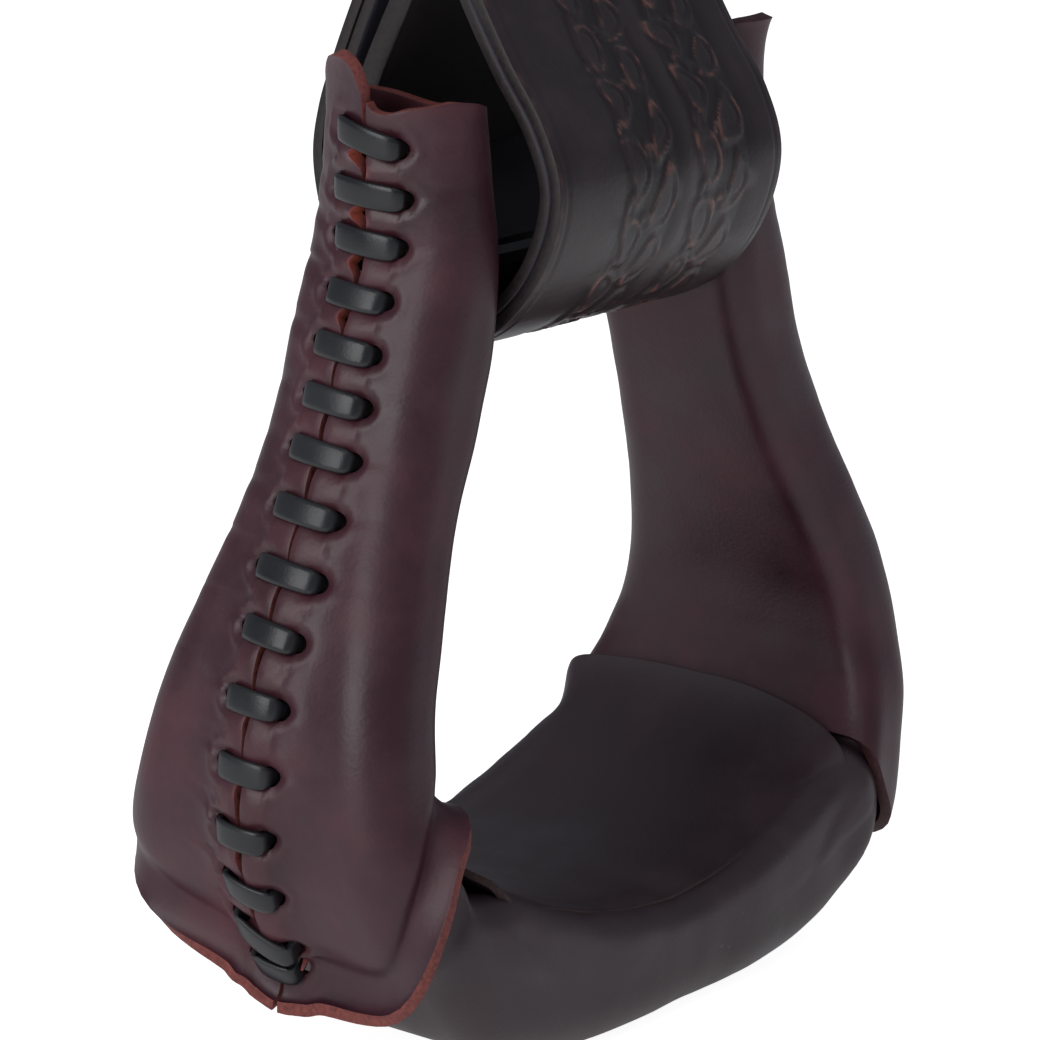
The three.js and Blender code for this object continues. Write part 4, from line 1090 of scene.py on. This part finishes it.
def stampRelief(piece, line, middle):
    # pushes the outer face in and out by the tooling; the flesh side stays smooth
    length = line[1][-1]
    work = bmesh.new()
    work.from_mesh(piece.data)
    uvLayer = work.loops.layers.uv.verify()
    rubAndLightLayer = work.verts.layers.float["rub"]
    for vert in work.verts:
        u, v = (value / mm for value in vert.link_loops[0][uvLayer].uv)
        point, heading = lineAt(line, min(max(u / length, 0), 1))
        out = Vector((0, heading.y, -heading.x))
        away = (vert.co / mm - Vector((0, point.x, point.y - strapTop))).dot(out)
        if away > middle:
            # with the tooling's rubbed colour, painted highlight and painted shade
            height, vert[rubAndLightLayer] = toolingAt(u, v)
            vert.co += out * (height * mm * smoothStep(middle, middle + 1, away))
    work.to_mesh(piece.data)
    work.free()


def strapSheet(name, line, distance, wall, columns, rows, hide, seed, tooled=False):
    length = line[1][-1]

    def acrossAt(b):
        return fineColumns[round(b * (len(fineColumns) - 1))] if tooled else b * strapWidth

    def placeOf(a, b):
        point, heading = lineAt(line, a)
        x = acrossAt(b) - strapWidth / 2
        nearEdge = smoothStep(3.2, 0.4, strapWidth / 2 - abs(x))
        lift = distance - strap["edgeFall"] * nearEdge
        lift += strap["unevenness"] * noise.noise(Vector((x * 0.04, a * length * 0.03, seed)))
        return toFrame(x, point.x + heading.y * lift, point.y - heading.x * lift)

    def uvOf(a, b):
        return a * length * mm, acrossAt(b) * mm

    piece = gridPiece(name, rows, columns, placeOf, uvOf)
    finishLeather(piece, wall, hide, strapEdge, bevel=0.55)
    if tooled:
        stampRelief(piece, line, distance - wall / 2)
    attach(piece, "strap")
    return piece


def stampedLeather(name, tones):
    # tooled strap leather: dyed near black; pressed ground and veins darkest, as painted shade; the petals' rims and
    # edge lines brown red in patches, partly rubbed wear and partly painted highlight
    material, tree, shader, onPiece = startMaterial(name, tones[1], 0.38, ior=1.45)
    mottle = addNode(tree, "TexNoise", {"Scale": 60.0, "Detail": 5.0}, onPiece)
    dye = addNode(tree, "ValToRGB", {"stops": [(0.3, tones[0]), (0.52, tones[1]), (0.72, tones[2])]},
                  {"Fac": mottle.outputs["Fac"]})
    rub = addNode(tree, "Attribute", {"attribute_name": "rub"})
    onSheet = {"Vector": addNode(tree, "TexCoord").outputs["UV"]}
    worn = addNode(tree, "TexNoise", {"Scale": 210.0, "Detail": 2.0}, onSheet)
    above = addNode(tree, "Math", {"operation": "SUBTRACT", 1: 0.48}, {0: worn.outputs["Fac"]})
    patches = addNode(tree, "Math", {"operation": "MULTIPLY", "use_clamp": True, 1: 6.0}, {0: above.outputs[0]})
    # patches where the rims turn brown red, partly rubbed wear and partly painted highlight
    bare = addNode(tree, "Math", {"operation": "MULTIPLY", "use_clamp": True},
                   {0: rub.outputs["Fac"], 1: patches.outputs[0]})
    # the pressed ground and veins darkened: painted shade
    groundPaintedShade = addNode(tree, "Math", {"operation": "MULTIPLY", "use_clamp": True, 1: -0.6}, {0: rub.outputs["Fac"]})
    deep = addNode(tree, "Mix", {"data_type": "RGBA", 7: linearColor("#150e10")},
                   {0: groundPaintedShade.outputs[0], 6: dye.outputs["Color"]})
    rubbedAndHighlit = addNode(tree, "Mix", {"data_type": "RGBA", 7: linearColor("#7f564e")},
                     {0: bare.outputs[0], 6: deep.outputs[2]})
    grain = addNode(tree, "TexNoise", {"Scale": 700.0, "Detail": 3.0}, onPiece)
    bump = addNode(tree, "Bump", {"Strength": 1.0, "Distance": 0.08 * mm}, {"Height": grain.outputs["Fac"]})
    joinTo(tree, shader, {"Base Color": rubbedAndHighlit.outputs[2], "Normal": bump.outputs["Normal"]})
    return material


tooledHide = stampedLeather("stamped_strap_leather", ["#241b1d", "#2f2528", "#3c2e31"])
outward = 2 * strap["ply"] + strap["clearance"]
tooledPly = strapSheet("strap_tooled_leather", loopLine, outward, strap["ply"], len(fineColumns) - 1, strap["rows"],
                       tooledHide, 1.0, tooled=True)
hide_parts("strap_tooled_ply")
liningPly = strapSheet("strap_lining_leather", loopLine, strap["ply"], strap["ply"], 60, 380, liningPaintedLight, 2.0)
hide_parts("strap_lining_ply")
billetPiece = strapSheet("strap_billet_leather", billetLine, strap["billetPly"], strap["billetPly"], 60, 160,
                         billetHide, 3.0)
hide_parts("strap_billet")
print("strap folded")

# wood and steel keep the shapes of the frame's solids

steelNodes = ["bolt", "nut", "washer_left", "washer_right", "buckle_plate", "buckle_sleeve"]
steelNodes += [f"{kind}_{n}" for kind in ("tread_nail", "buckle_rivet") for n in (1, 2, 3, 4)]
for finish, names in ((wood, ("bent_bow", "tread_block")), (steel, steelNodes), (rollerShadeSteel, ("roller",))):
    for name in names:
        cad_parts[name].material_slots[0].material = finish
print("wood and steel finished")

# pale floor, soft light

room = {
    "floorSize": 6, "floorGap": 0.1, "seenGlow": 0.7, "sheenGlow": 0.2, "bounceGlow": 0.2, "aim": (0, 0, -0.2),
    "lampSize": 0.9, "keyPlace": (-1.3, 0.05, 0.38), "keyPower": 9, "fillPlace": (-0.7, -0.8, 1.1), "fillPower": 1.3,
    "skyColor": (0.86, 0.9, 1.0, 1), "skyStrength": 0.27,
}


def addFloor():
    clearSelection()
    bpy.ops.mesh.primitive_grid_add(x_subdivisions=4, y_subdivisions=4, size=room["floorSize"],
                                    location=(0, 0, -(strapTop + room["floorGap"]) * mm))
    floor = bpy.context.object
    floor.name = "floor"
    bpy.ops.object.transform_apply(location=True)
    # matt white board that glows a little, so that the ground behind the part stays white
    material, tree, shader, _ = startMaterial("pale_floor", "#f2f2f2", 0.9)
    rays = addNode(tree, "LightPath")
    seen = addNode(tree, "Math", {"operation": "MULTIPLY_ADD", 1: room["seenGlow"], 2: room["bounceGlow"]},
                   {0: rays.outputs["Is Camera Ray"]})
    both = addNode(tree, "Math", {"operation": "MULTIPLY_ADD", 1: room["sheenGlow"]},
                   {0: rays.outputs["Is Glossy Ray"], 2: seen.outputs[0]})
    glow = addNode(tree, "Emission", {"Color": (1, 1, 1, 1)}, {"Strength": both.outputs[0]})
    added = addNode(tree, "AddShader", links={0: shader.outputs[0], 1: glow.outputs[0]})
    joinTo(tree, tree.nodes["Material Output"], {"Surface": added.outputs[0]})
    floor.data.materials.append(material)


def addLamp(name, place, power):
    light = bpy.data.lights.new(name, "AREA")
    light.shape, light.size, light.energy = "SQUARE", room["lampSize"], power
    lamp = bpy.data.objects.new(name, light)
    bpy.context.collection.objects.link(lamp)
    lamp.location = place
    lamp.rotation_euler = (Vector(room["aim"]) - Vector(place)).to_track_quat("-Z", "Y").to_euler()


def addSky():
    # a cool, dim sky lights the part, while the camera sees plain white behind it
    world = bpy.data.worlds.new("studio")
    bpy.context.scene.world = world
    world.use_nodes = True
    tree = world.node_tree
    dim = tree.nodes["Background"]
    dim.inputs["Color"].default_value = room["skyColor"]
    dim.inputs["Strength"].default_value = room["skyStrength"]
    plain = addNode(tree, "Background", {"Color": (1, 1, 1, 1), "Strength": 1.0})
    looking = addNode(tree, "LightPath")
    seen = addNode(tree, "MixShader",
                   links={0: looking.outputs["Is Camera Ray"], 1: dim.outputs[0], 2: plain.outputs[0]})
    joinTo(tree, tree.nodes["World Output"], {"Surface": seen.outputs[0]})


addFloor()
addLamp("key_light", room["keyPlace"], room["keyPower"])
addLamp("fill_light", room["fillPlace"], room["fillPower"])
addSky()
bpy.context.scene.view_settings.view_transform = "Standard"
print("floor and lights set")
